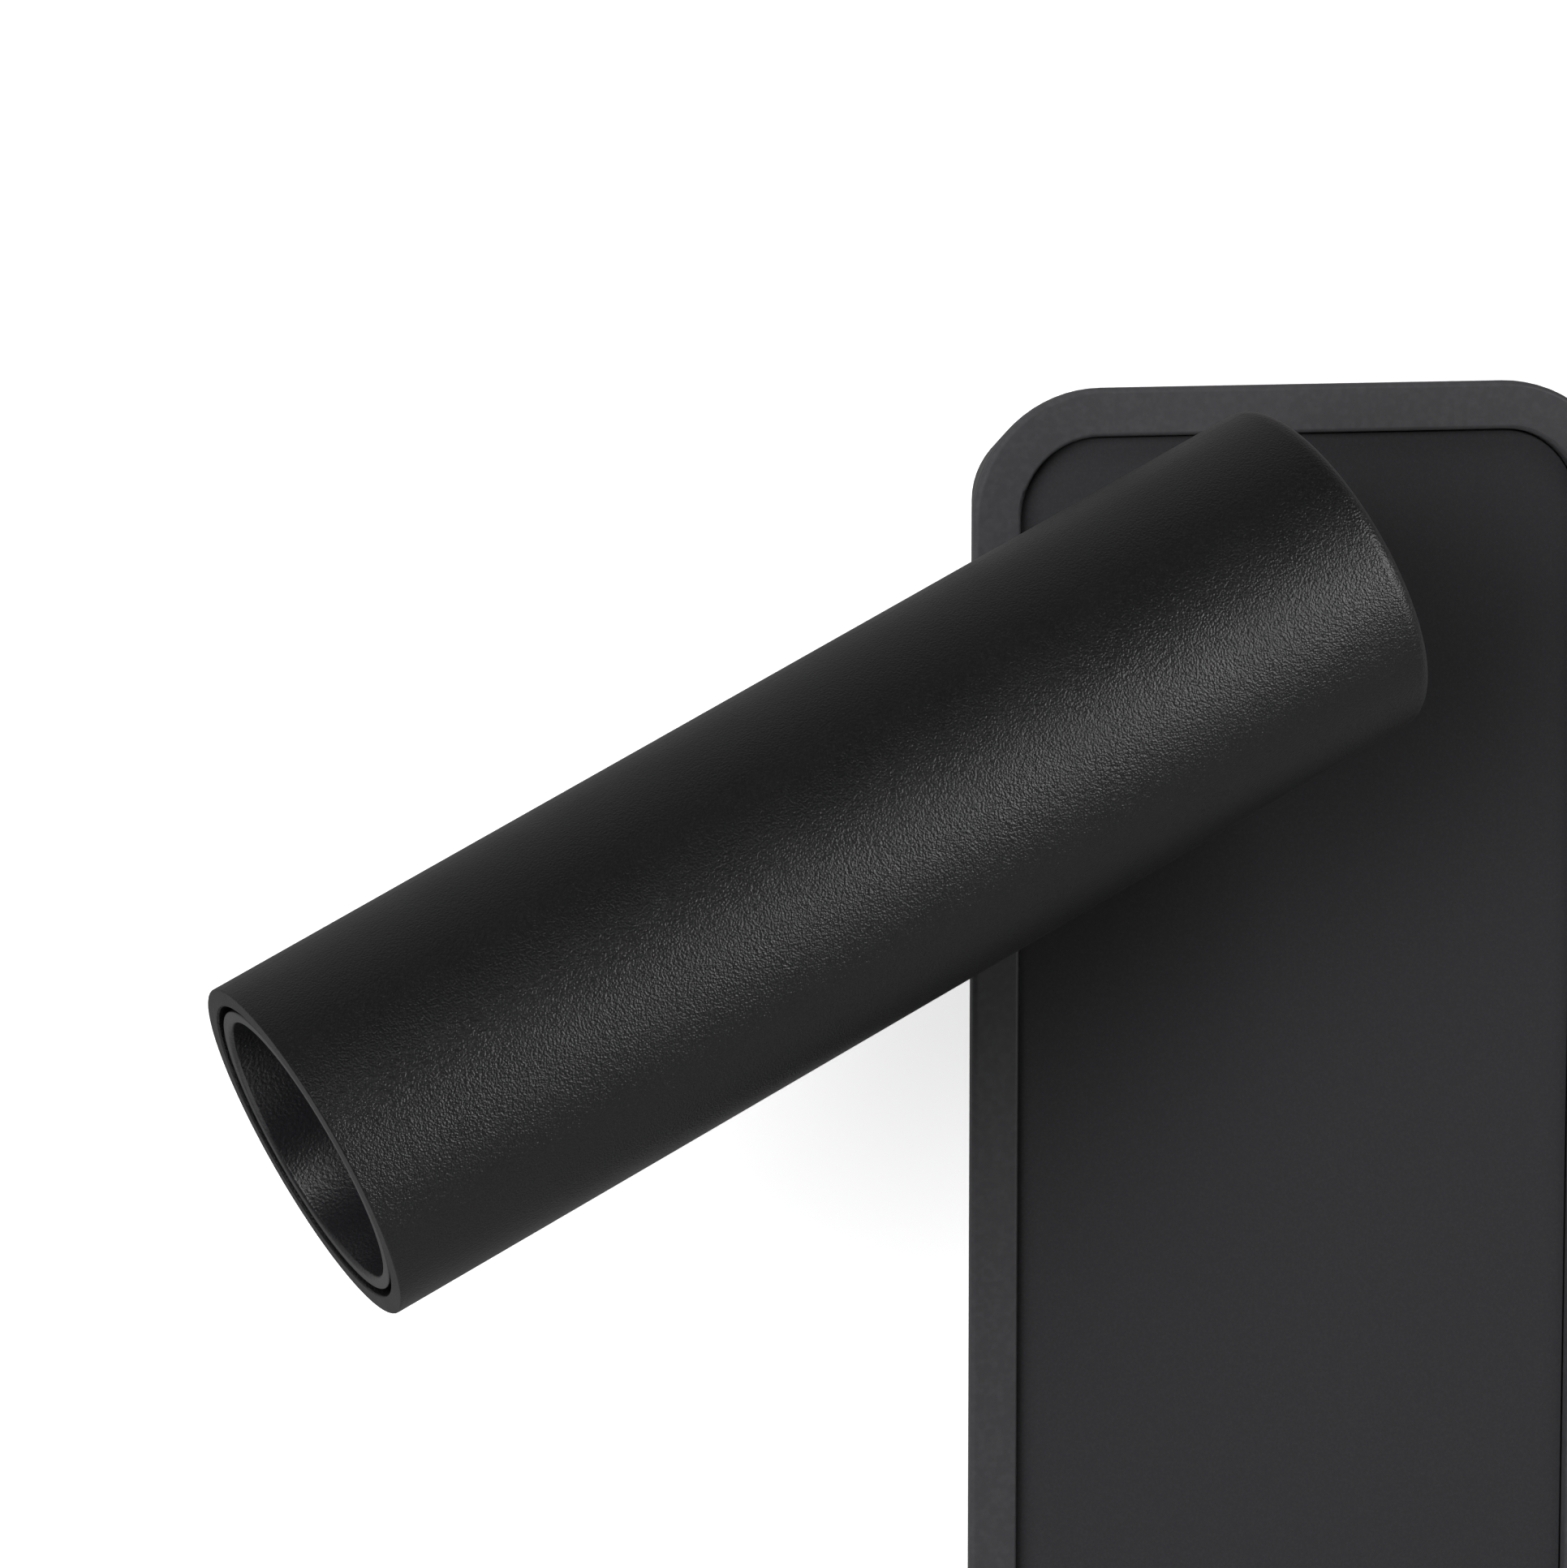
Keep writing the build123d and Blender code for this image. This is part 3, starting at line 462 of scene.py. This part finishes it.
# Turned on a lathe: warm yellow with a fine shine
BRASS = Metal("turned_brass", "#c9a253", "#a47f38", roughness=0.3, grain_mm=0.2, relief_mm=0.004)
# Soft and matt, with hardly any shine
RUBBER = Moulded("black_rubber", "#1b1b1b", "#242322",
                 roughness=0.72, grain_mm=0.4, relief_mm=0.02, specular=0.35)
# Off-white case with a half-matt skin
DRIVER_PLASTIC = Moulded("white_driver_case", "#d9d8d2", "#cfcdc6",
                         roughness=0.5, grain_mm=0.3, relief_mm=0.012)
# Polyamide: ivory and rather shiny
CONNECTOR_PLASTIC = Moulded("ivory_connector", "#ddd9cb", "#d2cdbd",
                            roughness=0.36, grain_mm=0.25, relief_mm=0.006)
# Undyed bearing plastic: milky, with a waxy shine
BEARING_PLASTIC = Moulded("natural_acetal", "#d8d5c8", "#cdc9ba",
                          roughness=0.44, grain_mm=0.35, relief_mm=0.008)
# Glass-filled plastic: a plain grey black
HOLDER_PLASTIC = Moulded("black_holder_plastic", "#1c1c1c", "#232323",
                         roughness=0.5, grain_mm=0.3, relief_mm=0.012)
# White lacquer on the LED's board: smooth, with a faint orange peel
BOARD_MASK = Moulded("white_solder_mask", "#e4e4e0", "#d6d6d0", roughness=0.4, grain_mm=0.8, relief_mm=0.006)
# Silicone with phosphor: a warm yellow disc
PHOSPHOR = Moulded("phosphor_gel", "#d9a233", "#c48a22", roughness=0.35, grain_mm=0.12, relief_mm=0.004)
# Drawn vinyl sleeves, brown and blue
LEADS = TwoWires("lead_insulation", "#5b3420", "#24489c",
                 roughness=0.4, grain_mm=0.6, relief_mm=0.01, node="driver_leads")
# Moulded lens: clear, and it bends what is behind it
ACRYLIC = Clear("clear_acrylic", "#ffffff", "#f7fafb", roughness=0.04, grain_mm=6.0, relief_mm=0.006)


def pick_faces(piece: bpy.types.Object, wanted: Callable[[bpy.types.MeshPolygon], bool]) -> None:
    """Selects faces and leaves the piece in edit mode.

    Args:
        piece: The active mesh object, in object mode.
        wanted: Says of a face whether it is selected.
    """
    bpy.ops.object.mode_set(mode="EDIT")
    bpy.ops.mesh.select_mode(type="FACE")
    bpy.ops.mesh.select_all(action="DESELECT")
    bpy.ops.object.mode_set(mode="OBJECT")
    for face in piece.data.polygons:
        face.select = wanted(face)
    bpy.ops.object.mode_set(mode="EDIT")


def join_pieces(pieces: list[bpy.types.Object]) -> bpy.types.Object:
    """Joins mesh objects into the first of them.

    Args:
        pieces: The objects, in object mode.

    Returns:
        The joined object, which is the active one.
    """
    bpy.ops.object.select_all(action="DESELECT")
    for piece in pieces:
        piece.select_set(True)
    bpy.context.view_layer.objects.active = pieces[0]
    if len(pieces) > 1:
        bpy.ops.object.join()
    return pieces[0]


def apply_modifier(piece: bpy.types.Object, kind: str, **settings: object) -> None:
    """Adds a modifier to the active object and applies it.

    Args:
        piece: The active object, in object mode.
        kind: Modifier type, such as "BOOLEAN".
        **settings: Modifier properties by name.
    """
    bpy.ops.object.modifier_add(type=kind)
    modifier = piece.modifiers[-1]
    for name, value in settings.items():
        setattr(modifier, name, value)
    bpy.ops.object.modifier_apply(modifier=modifier.name)


@dataclass(frozen=True)
class Screw:
    """A screw about the Z axis: a head with a cross recess, over a ridged shank that goes down.

    Attributes:
        shank_d: Diameter over the thread.
        length: Depth of the tip below Z = 0.
        head_d: Diameter of the head.
        head_t: Thickness of the head, which stands on Z = 0, or ends there if it is countersunk.
        form: Form of the head.
        pitch: Distance from one ridge of the thread to the next.
        sides: Number of sides of what is round.
        edge_share: Rounding of a pan head's top edge, as a share of the head's thickness.
        edge_steps: Number of faces in that rounding.
        arms: Number of slots in the recess, which cross in the middle.
        arm_length_share: Length of a slot, as a share of the head's diameter.
        arm_width_share: Its width, likewise.
        arm_depth_share: Its depth, as a share of the head's thickness.
        arm_foot: How much narrower a slot is below.
        thread_share: Depth of the thread, as a share of the pitch.
        flank_share: Width of each flank of a ridge, as a share of the pitch.
        smooth_deg: Edges that turn less than this are smooth.
    """

    shank_d: float
    length: float
    head_d: float
    head_t: float
    form: HeadForm = HeadForm.PAN
    pitch: float = 0.7 * MM
    sides: int = 40
    edge_share: float = 1 / 3
    edge_steps: int = 4
    arms: int = 2
    arm_length_share: float = 0.56
    arm_width_share: float = 0.15
    arm_depth_share: float = 0.62
    arm_foot: float = 0.6
    thread_share: float = 0.55
    flank_share: float = 0.42
    smooth_deg: float = 35.0

    def build(self) -> bpy.types.Object:
        """Models the screw.

        Returns:
            The screw, at the origin.
        """
        return join_pieces([self.head(), self.shank()])

    def head(self) -> bpy.types.Object:
        """Models the head.

        Returns:
            The head, with its recess.
        """
        sunk = self.form is HeadForm.COUNTERSUNK
        top = 0.0 if sunk else self.head_t
        bpy.ops.mesh.primitive_cylinder_add(
            vertices=self.sides, radius=self.head_d / 2, depth=self.head_t,
            location=(0, 0, top - self.head_t / 2),
        )
        bpy.ops.object.transform_apply(location=True, rotation=True, scale=True)
        head = bpy.context.object
        if sunk:
            shrink = self.shank_d / self.head_d
            pick_faces(head, lambda face: face.normal.z < -END_FACE)
            bpy.ops.transform.resize(value=(shrink, shrink, 1))
        else:
            pick_faces(head, lambda face: face.normal.z > END_FACE)
            bpy.ops.mesh.bevel(offset=self.head_t * self.edge_share, segments=self.edge_steps, affect="EDGES")
        bpy.ops.object.mode_set(mode="OBJECT")
        for arm in range(self.arms):
            self.cut_arm(head, top, math.pi / self.arms * arm)
        return head

    def cut_arm(self, head: bpy.types.Object, top: float, turn: float) -> None:
        """Cuts one slot of the recess, which narrows downwards.

        Args:
            head: The head.
            top: Height of its top.
            turn: Direction of the slot, in radians from X.
        """
        depth = self.head_t * self.arm_depth_share
        length = self.head_d * self.arm_length_share
        width = self.head_d * self.arm_width_share
        bpy.ops.mesh.primitive_cube_add(
            size=1, location=(0, 0, top), rotation=(0, 0, turn), scale=(length, width, 2 * depth),
        )
        bpy.ops.object.transform_apply(location=True, rotation=True, scale=True)
        cutter = bpy.context.object
        pick_faces(cutter, lambda face: face.normal.z < -END_FACE)
        bpy.ops.transform.resize(value=(self.arm_foot, self.arm_foot, 1))
        bpy.ops.object.mode_set(mode="OBJECT")
        bpy.ops.object.select_all(action="DESELECT")
        head.select_set(True)
        bpy.context.view_layer.objects.active = head
        apply_modifier(head, "BOOLEAN", object=cutter, operation="DIFFERENCE", solver="EXACT")
        bpy.data.objects.remove(cutter)

    def shank(self) -> bpy.types.Object:
        """Models the shank as a stack of thread ridges.

        Returns:
            The shank.
        """
        start = -self.head_t if self.form is HeadForm.COUNTERSUNK else 0.0
        turns = max(1, round((self.length + start) / self.pitch))
        pitch = (self.length + start) / turns
        root = self.shank_d / 2 - self.thread_share * self.pitch
        bpy.ops.mesh.primitive_cylinder_add(
            vertices=self.sides, radius=root, depth=pitch, location=(0, 0, start - pitch / 2),
        )
        bpy.ops.object.transform_apply(location=True, rotation=True, scale=True)
        shank = bpy.context.object
        pick_faces(shank, lambda face: abs(face.normal.z) < SIDE_FACE)
        bpy.ops.mesh.inset(thickness=pitch * self.flank_share, use_even_offset=True)
        grow = self.shank_d / 2 / root
        bpy.ops.transform.resize(value=(grow, grow, 1))
        bpy.ops.object.mode_set(mode="OBJECT")
        apply_modifier(
            shank, "ARRAY", count=turns, use_relative_offset=True, relative_offset_displace=(0, 0, -1),
            use_merge_vertices=True, merge_threshold=MERGE,
        )
        return shank


class SubAssembly:
    """CAD nodes that move as one body, with their finishes and the pieces that are modelled again.

    Attributes:
        body: The body that its pieces ride on.
    """

    body: Body

    def finishes(self) -> dict[str, Finish]:
        """Names the finish of each CAD node."""
        raise NotImplementedError

    def build(self) -> list[bpy.types.Object]:
        """Models the new pieces, of which there are none unless the sub-assembly has its own."""
        return []

    def dress(self) -> None:
        """Gives every CAD node its finish."""
        for name, finish in self.finishes().items():
            node = frame["nodes"][name]
            node.data.materials.clear()
            node.data.materials.append(finish.material())
            LOG.info("%s: %s", name, finish.name)

    def set_screws(self, node: str, slot: str, screw: Screw, places: tuple[Matrix, ...]) -> bpy.types.Object:
        """Models alike screws that stand for a CAD node.

        Args:
            node: The CAD node.
            slot: Not used; it names the record's material slot.
            screw: The screw's sizes.
            places: A frame for each screw.

        Returns:
            The screws as one object at the origin.
        """
        made = [screw.build()]
        for _ in places[1:]:
            bpy.ops.object.duplicate()
            made.append(bpy.context.object)
        for copy, place in zip(made, places):
            copy.matrix_world = place
        screws = join_pieces(made)
        bpy.ops.object.transform_apply(location=True, rotation=True, scale=True)
        bpy.ops.object.shade_smooth_by_angle(angle=math.radians(screw.smooth_deg))
        screws.name = f"{node}_detailed"
        screws.data.materials.clear()
        screws.data.materials.append(self.finishes()[node].material())
        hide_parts(node)
        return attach(screws, self.body.value)


@dataclass(frozen=True)
class Base(SubAssembly):
    """What is fixed to the wall: bracket, housing and panel, driver, connector and the swivel's seat.

    Attributes:
        body: The body that its pieces ride on.
        end_screw: Screw in the top and the bottom of the housing.
        small_shank_d: Shank diameter of the screws in the housing's floor.
        small_head_d: Diameter of their heads.
        small_head_t: Thickness of their heads.
    """

    body: Body = Body.BASE
    end_screw: Screw = Screw(3.9 * MM, 8.0 * MM, 7.0 * MM, 2.2 * MM, pitch=1.0 * MM)
    small_shank_d: float = 2.8 * MM
    small_head_d: float = 5.2 * MM
    small_head_t: float = 2.0 * MM

    def finishes(self) -> dict[str, Finish]:
        """Names the finish of each CAD node.

        Returns:
            Node name to finish.
        """
        return {
            "wall_bracket": BLACK_STEEL,
            "cable_grommet": RUBBER,
            "base_housing": RIM_COAT,
            "housing_screws": BLACK_STEEL,
            "front_panel": PANEL_COAT,
            "panel_retainers": SPRING,
            "led_driver": DRIVER_PLASTIC,
            "driver_screws": ZINC,
            "terminal_block": CONNECTOR_PLASTIC,
            "terminal_block_screw": ZINC,
            "earth_screw": BRASS,
            "driver_leads": LEADS,
            "pivot_bush": BEARING_PLASTIC,
            "stop_pin": ZINC,
        }

    def build(self) -> list[bpy.types.Object]:
        """Models the housing's, the driver's and the connector's screws.

        Returns:
            One object for each set of screws.
        """
        return [
            self.end_screws(),
            self.floor_screws("driver_screws", 2),
            self.floor_screws("terminal_block_screw", 1),
        ]

    def end_screws(self) -> bpy.types.Object:
        """Models the screws in the top and the bottom of the housing.

        Returns:
            Both screws as one object.
        """
        low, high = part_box("housing_screws")
        middle = (low + high) / 2
        seat = high.z - self.end_screw.head_t
        up = Matrix.Translation((middle.x, middle.y, seat))
        down = Matrix.Translation((middle.x, middle.y, -seat)) @ Matrix.Rotation(math.pi, 4, "X")
        return self.set_screws("housing_screws", "black_screw", self.end_screw, (up, down))

    def floor_screws(self, node: str, count: int) -> bpy.types.Object:
        """Models small screws that are driven from the wall's side.

        Args:
            node: CAD node of the screws.
            count: One screw, or two at the ends of the node.

        Returns:
            The screws as one object.
        """
        low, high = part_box(node)
        seat = high.y - self.small_head_t
        screw = Screw(self.small_shank_d, seat - low.y, self.small_head_d, self.small_head_t)
        radius = self.small_head_d / 2
        across = [low.x + radius, high.x - radius][:count]
        to_wall = Matrix.Rotation(-math.pi / 2, 4, "X")
        height = (low.z + high.z) / 2
        places = tuple(Matrix.Translation((x, seat, height)) @ to_wall for x in across)
        return self.set_screws(node, "zinc_steel", screw, places)


@dataclass(frozen=True)
class Swivel(SubAssembly):
    """What turns on the base: the stem with its collar and the stack that holds it down.

    Attributes:
        body: The body that its pieces ride on.
    """

    body: Body = Body.SWIVEL

    def finishes(self) -> dict[str, Finish]:
        """Names the finish of each CAD node.

        Returns:
            Node name to finish.
        """
        return {
            "pivot_stem": RIM_COAT,
            "pivot_collar": RIM_COAT,
            "friction_washer": BEARING_PLASTIC,
            "stop_washer": ZINC,
            "spring_washer": SPRING,
            "lock_nut": ZINC,
        }


@dataclass(frozen=True)
class Head(SubAssembly):
    """What tilts on the swivel: the tube with its hinge, heat sink, LED, lens and front ring.

    Attributes:
        body: The body that its pieces ride on.
        rear_screw: Flush screw in the tube's rear face.
        screw_from_axis: Its distance from the tube's axis.
        pin_from_rear: Distance of the hinge bolt from the rear face.
    """

    body: Body = Body.HEAD
    rear_screw: Screw = Screw(2.9 * MM, 6.0 * MM, 5.6 * MM, 1.35 * MM, HeadForm.COUNTERSUNK, 0.5 * MM)
    screw_from_axis: float = 10.4 * MM
    pin_from_rear: float = 14.0 * MM

    def finishes(self) -> dict[str, Finish]:
        """Names the finish of each CAD node.

        Returns:
            Node name to finish.
        """
        return {
            "lamp_tube": TUBE_COAT,
            "tilt_yoke": ZINC,
            "yoke_screws": BLACK_STEEL,
            "tilt_bolt": ZINC,
            "tilt_nut": ZINC,
            "tilt_washers": BEARING_PLASTIC,
            "heat_sink": ALUMINIUM,
            "led_board": BOARD_MASK,
            "led_chip": PHOSPHOR,
            "led_screws": ZINC,
            "lens_holder": HOLDER_PLASTIC,
            "lens": ACRYLIC,
            "anti_glare_baffle": BAFFLE_COAT,
        }

    def build(self) -> list[bpy.types.Object]:
        """Models the screws in the tube's rear face.

        Returns:
            Both screws as one object, in a list.
        """
        rear = self.rear_frame()
        inwards = Matrix.Rotation(math.pi, 4, "X")
        aside = (self.screw_from_axis, -self.screw_from_axis)
        places = tuple(rear @ Matrix.Translation((x, 0, 0)) @ inwards for x in aside)
        return [self.set_screws("yoke_screws", "black_screw", self.rear_screw, places)]

    def rear_frame(self) -> Matrix:
        """Finds the tube's rear face at rest from the tilt joint.

        Returns:
            A frame on the middle of the face, X along the hinge bolt and Z towards the mouth.
        """
        hinge = next(joint for joint in frame["joints"] if joint["name"] == "tilt")
        bolt = Vector(hinge["axis"]).normalized()
        # The tube lies flat along the wall at the lower end of its tilt
        tilt = math.radians(-hinge["range_deg"][0])
        along = bolt.cross(INTO_WALL) * math.cos(tilt) - INTO_WALL * math.sin(tilt)
        turned = Matrix((bolt, along.cross(bolt), along)).transposed()
        middle = Vector(hinge["pos_m"]) - along * self.pin_from_rear
        return Matrix.Translation(middle) @ turned.to_4x4()


@dataclass(frozen=True)
class PhotoCamera:
    """Camera solved from the outlines of the tube and of the plate.

    Attributes:
        place: Where it stands.
        azimuth_deg: Its turn about Z, from looking along +Y.
        elevation_deg: How far it looks down.
        roll_deg: Its turn about its own axis.
        focal_px: Focal length in pixels of the picture.
        image_px: Width and height of the picture.
        sensor_mm: Width of the sensor.
        nearest: Distance at which it starts to see.
    """

    place: tuple[float, float, float] = (-0.23305, -0.79915, 0.14676)
    azimuth_deg: float = -12.472
    elevation_deg: float = 8.023
    roll_deg: float = -0.007
    focal_px: float = 8571.3
    image_px: tuple[int, int] = (1931, 1932)
    sensor_mm: float = 36.0
    nearest: float = 0.01

    def build(self) -> bpy.types.Object:
        """Adds the camera and makes it the scene's.

        Returns:
            The camera object.
        """
        bpy.ops.object.camera_add()
        camera = bpy.context.object
        camera.name = "photo_camera"
        camera.data.sensor_width = self.sensor_mm
        camera.data.lens = self.sensor_mm * self.focal_px / max(self.image_px)
        camera.data.clip_start = self.nearest
        turn = Matrix.Rotation(math.radians(self.azimuth_deg), 4, "Z")
        pitch = Matrix.Rotation(math.radians(90 - self.elevation_deg), 4, "X")
        roll = Matrix.Rotation(math.radians(self.roll_deg), 4, "Z")
        camera.matrix_world = Matrix.Translation(self.place) @ turn @ pitch @ roll
        bpy.context.scene.camera = camera
        return camera


@dataclass(frozen=True)
class SoftBox:
    """A square studio light, aimed at the lamp.

    Attributes:
        name: Name of the light.
        azimuth_deg: Where it stands, to the right of straight in front.
        elevation_deg: How high it stands.
        power: Its power in watts.
        side: Length of its side.
        scatters: Whether it lights a matt surface.
        glints: Whether it shows in a glossy one.
        distance: How far from the lamp it stands.
        aim: The point that it faces.
    """

    name: str
    azimuth_deg: float
    elevation_deg: float
    power: float
    side: float = 0.6
    scatters: bool = True
    glints: bool = True
    distance: float = 1.3
    aim: tuple[float, float, float] = (-0.04, -0.05, 0.02)

    def build(self) -> bpy.types.Object:
        """Adds the light.

        Returns:
            The light object.
        """
        bpy.ops.object.light_add(type="AREA")
        light = bpy.context.object
        light.name = self.name
        light.data.shape = "SQUARE"
        light.data.size = self.side
        light.data.energy = self.power
        light.visible_diffuse = self.scatters
        light.visible_glossy = self.glints
        turn = Matrix.Rotation(math.radians(self.azimuth_deg), 4, "Z")
        pitch = Matrix.Rotation(math.radians(90 - self.elevation_deg), 4, "X")
        back = Matrix.Translation((0.0, 0.0, self.distance))
        light.matrix_world = Matrix.Translation(self.aim) @ turn @ pitch @ back
        return light


@dataclass(frozen=True)
class Studio:
    """Pale floor, a white wall behind the lamp that is seen only from the room, and soft light.

    The left and top lights give the shading and its shadows, the right one the long highlight on the tube.

    Attributes:
        sheet_side: Side of the wall and of the floor.
        floor_level: Height of the floor, well below the lamp.
        floor_colour: Colour of the floor.
        wall_colour: Colour of the wall's paint.
        wall_glow: What the eye sees of the wall besides the light on its paint.
        wall_mirrored: How bright the wall is in a glossy surface and through the lens.
        sky: How bright the air of the room is.
        sky_behind: How bright it is behind the wall, where the lamp's back is seen.
        behind_from: Share of a direction into the wall from which on the air has that brightness.
        lights: The lights.
    """

    sheet_side: float = 6.0
    floor_level: float = -1.2
    floor_colour: str = "#f0f0f0"
    wall_colour: str = "#f4f4f4"
    wall_glow: float = 0.58
    wall_mirrored: float = 0.26
    sky: float = 0.02
    sky_behind: float = 0.6
    behind_from: float = 0.5
    lights: tuple[SoftBox, ...] = (
        SoftBox("left_softbox", -47.0, 10.0, 17.5, 0.9, glints=False),
        SoftBox("right_softbox", 48.0, 12.0, 12.5, 0.75, scatters=False),
        SoftBox("top_softbox", 40.0, 65.0, 7.0, glints=False),
        SoftBox("front_softbox", -30.0, 25.0, 2.3),
    )

    def build(self) -> None:
        """Adds the world, the wall, the floor and the lights."""
        self.light_world()
        self.add_wall()
        self.add_floor()
        for light in self.lights:
            light.build()

    def light_world(self) -> None:
        """Makes the air white to the eye, dim in the room and brighter behind the wall."""
        world = bpy.data.worlds.new("studio_air")
        bpy.context.scene.world = world
        tree = blank_tree(world)
        path = add_node(tree, "ShaderNodeLightPath")
        seen = add_node(tree, "ShaderNodeMath", {
            0: path.outputs["Is Camera Ray"], 1: path.outputs["Is Transmission Ray"],
        }, operation="MAXIMUM")
        facing = add_node(tree, "ShaderNodeTexCoord").outputs["Generated"]
        back = add_node(tree, "ShaderNodeSeparateXYZ", {"Vector": facing})
        # A black coat mirrors a dim room, so that it stays black, and bare metal at the back a bright one
        glow = add_node(tree, "ShaderNodeMapRange", {
            "Value": back.outputs["Y"], "From Max": self.behind_from,
            "To Min": self.sky, "To Max": self.sky_behind,
        })
        level = add_node(tree, "ShaderNodeMapRange", {
            "Value": seen.outputs["Value"], "To Min": glow.outputs["Result"], "To Max": 1.0,
        })
        air = add_node(tree, "ShaderNodeBackground", {
            "Color": srgb(WHITE), "Strength": level.outputs["Result"],
        })
        add_node(tree, "ShaderNodeOutputWorld", {"Surface": air.outputs["Background"]})

    def add_sheet(self, name: str, place: tuple[float, float, float], turn_x: float) -> bpy.types.Object:
        """Adds a flat sheet of the stage.

        Args:
            name: Name of the sheet and of its material.
            place: Its middle.
            turn_x: Turn about X, in radians, from lying face up.

        Returns:
            The sheet, with an empty material.
        """
        bpy.ops.mesh.primitive_plane_add(size=self.sheet_side, location=place, rotation=(turn_x, 0, 0))
        bpy.ops.object.transform_apply(location=True, rotation=True, scale=True)
        sheet = bpy.context.object
        sheet.name = name
        sheet.data.materials.append(bpy.data.materials.new(name))
        return sheet

    def add_wall(self) -> None:
        """Adds the wall: it takes the lamp's shadow, and lets light and sight through from behind."""
        wall = self.add_sheet("white_wall", (0, 0, 0), math.pi / 2)
        # The wall's glow is for the eye and for gloss: it neither lights the lamp nor shades it
        wall.visible_diffuse = False
        wall.visible_shadow = False
        wall.data.materials[0].cycles.emission_sampling = "NONE"
        tree = blank_tree(wall.data.materials[0])
        path = add_node(tree, "ShaderNodeLightPath")
        paint = add_node(tree, "ShaderNodeBsdfDiffuse", {"Color": srgb(self.wall_colour)})
        glow = add_node(tree, "ShaderNodeEmission", {"Color": srgb(WHITE), "Strength": self.wall_glow})
        lit = add_node(tree, "ShaderNodeAddShader", {0: paint.outputs[0], 1: glow.outputs[0]})
        mirrored = add_node(tree, "ShaderNodeEmission", {
            "Color": srgb(WHITE), "Strength": self.wall_mirrored,
        })
        front = add_node(tree, "ShaderNodeMixShader", {
            0: path.outputs["Is Camera Ray"], 1: mirrored.outputs[0], 2: lit.outputs[0],
        })
        clear = add_node(tree, "ShaderNodeBsdfTransparent")
        side = add_node(tree, "ShaderNodeNewGeometry")
        shown = add_node(tree, "ShaderNodeMixShader", {
            0: side.outputs["Backfacing"], 1: front.outputs[0], 2: clear.outputs[0],
        })
        add_node(tree, "ShaderNodeOutputMaterial", {"Surface": shown.outputs[0]})

    def add_floor(self) -> None:
        """Adds the floor."""
        floor = self.add_sheet("pale_floor", (0, 0, self.floor_level), 0.0)
        tree = blank_tree(floor.data.materials[0])
        paint = add_node(tree, "ShaderNodeBsdfDiffuse", {"Color": srgb(self.floor_colour)})
        add_node(tree, "ShaderNodeOutputMaterial", {"Surface": paint.outputs[0]})


def main() -> None:
    """Builds the lamp's looks, the studio and the camera."""
    logging.basicConfig(level=logging.INFO, format="%(name)s: %(message)s")
    bpy.ops.object.select_all(action="DESELECT")
    bpy.context.scene.view_settings.view_transform = "Standard"
    for part in (Base(), Swivel(), Head()):
        part.dress()
        for piece in part.build():
            LOG.info("%s rides on the %s", piece.name, part.body.value)
    Studio().build()
    PhotoCamera().build()


if __name__ == "__main__":
    main()
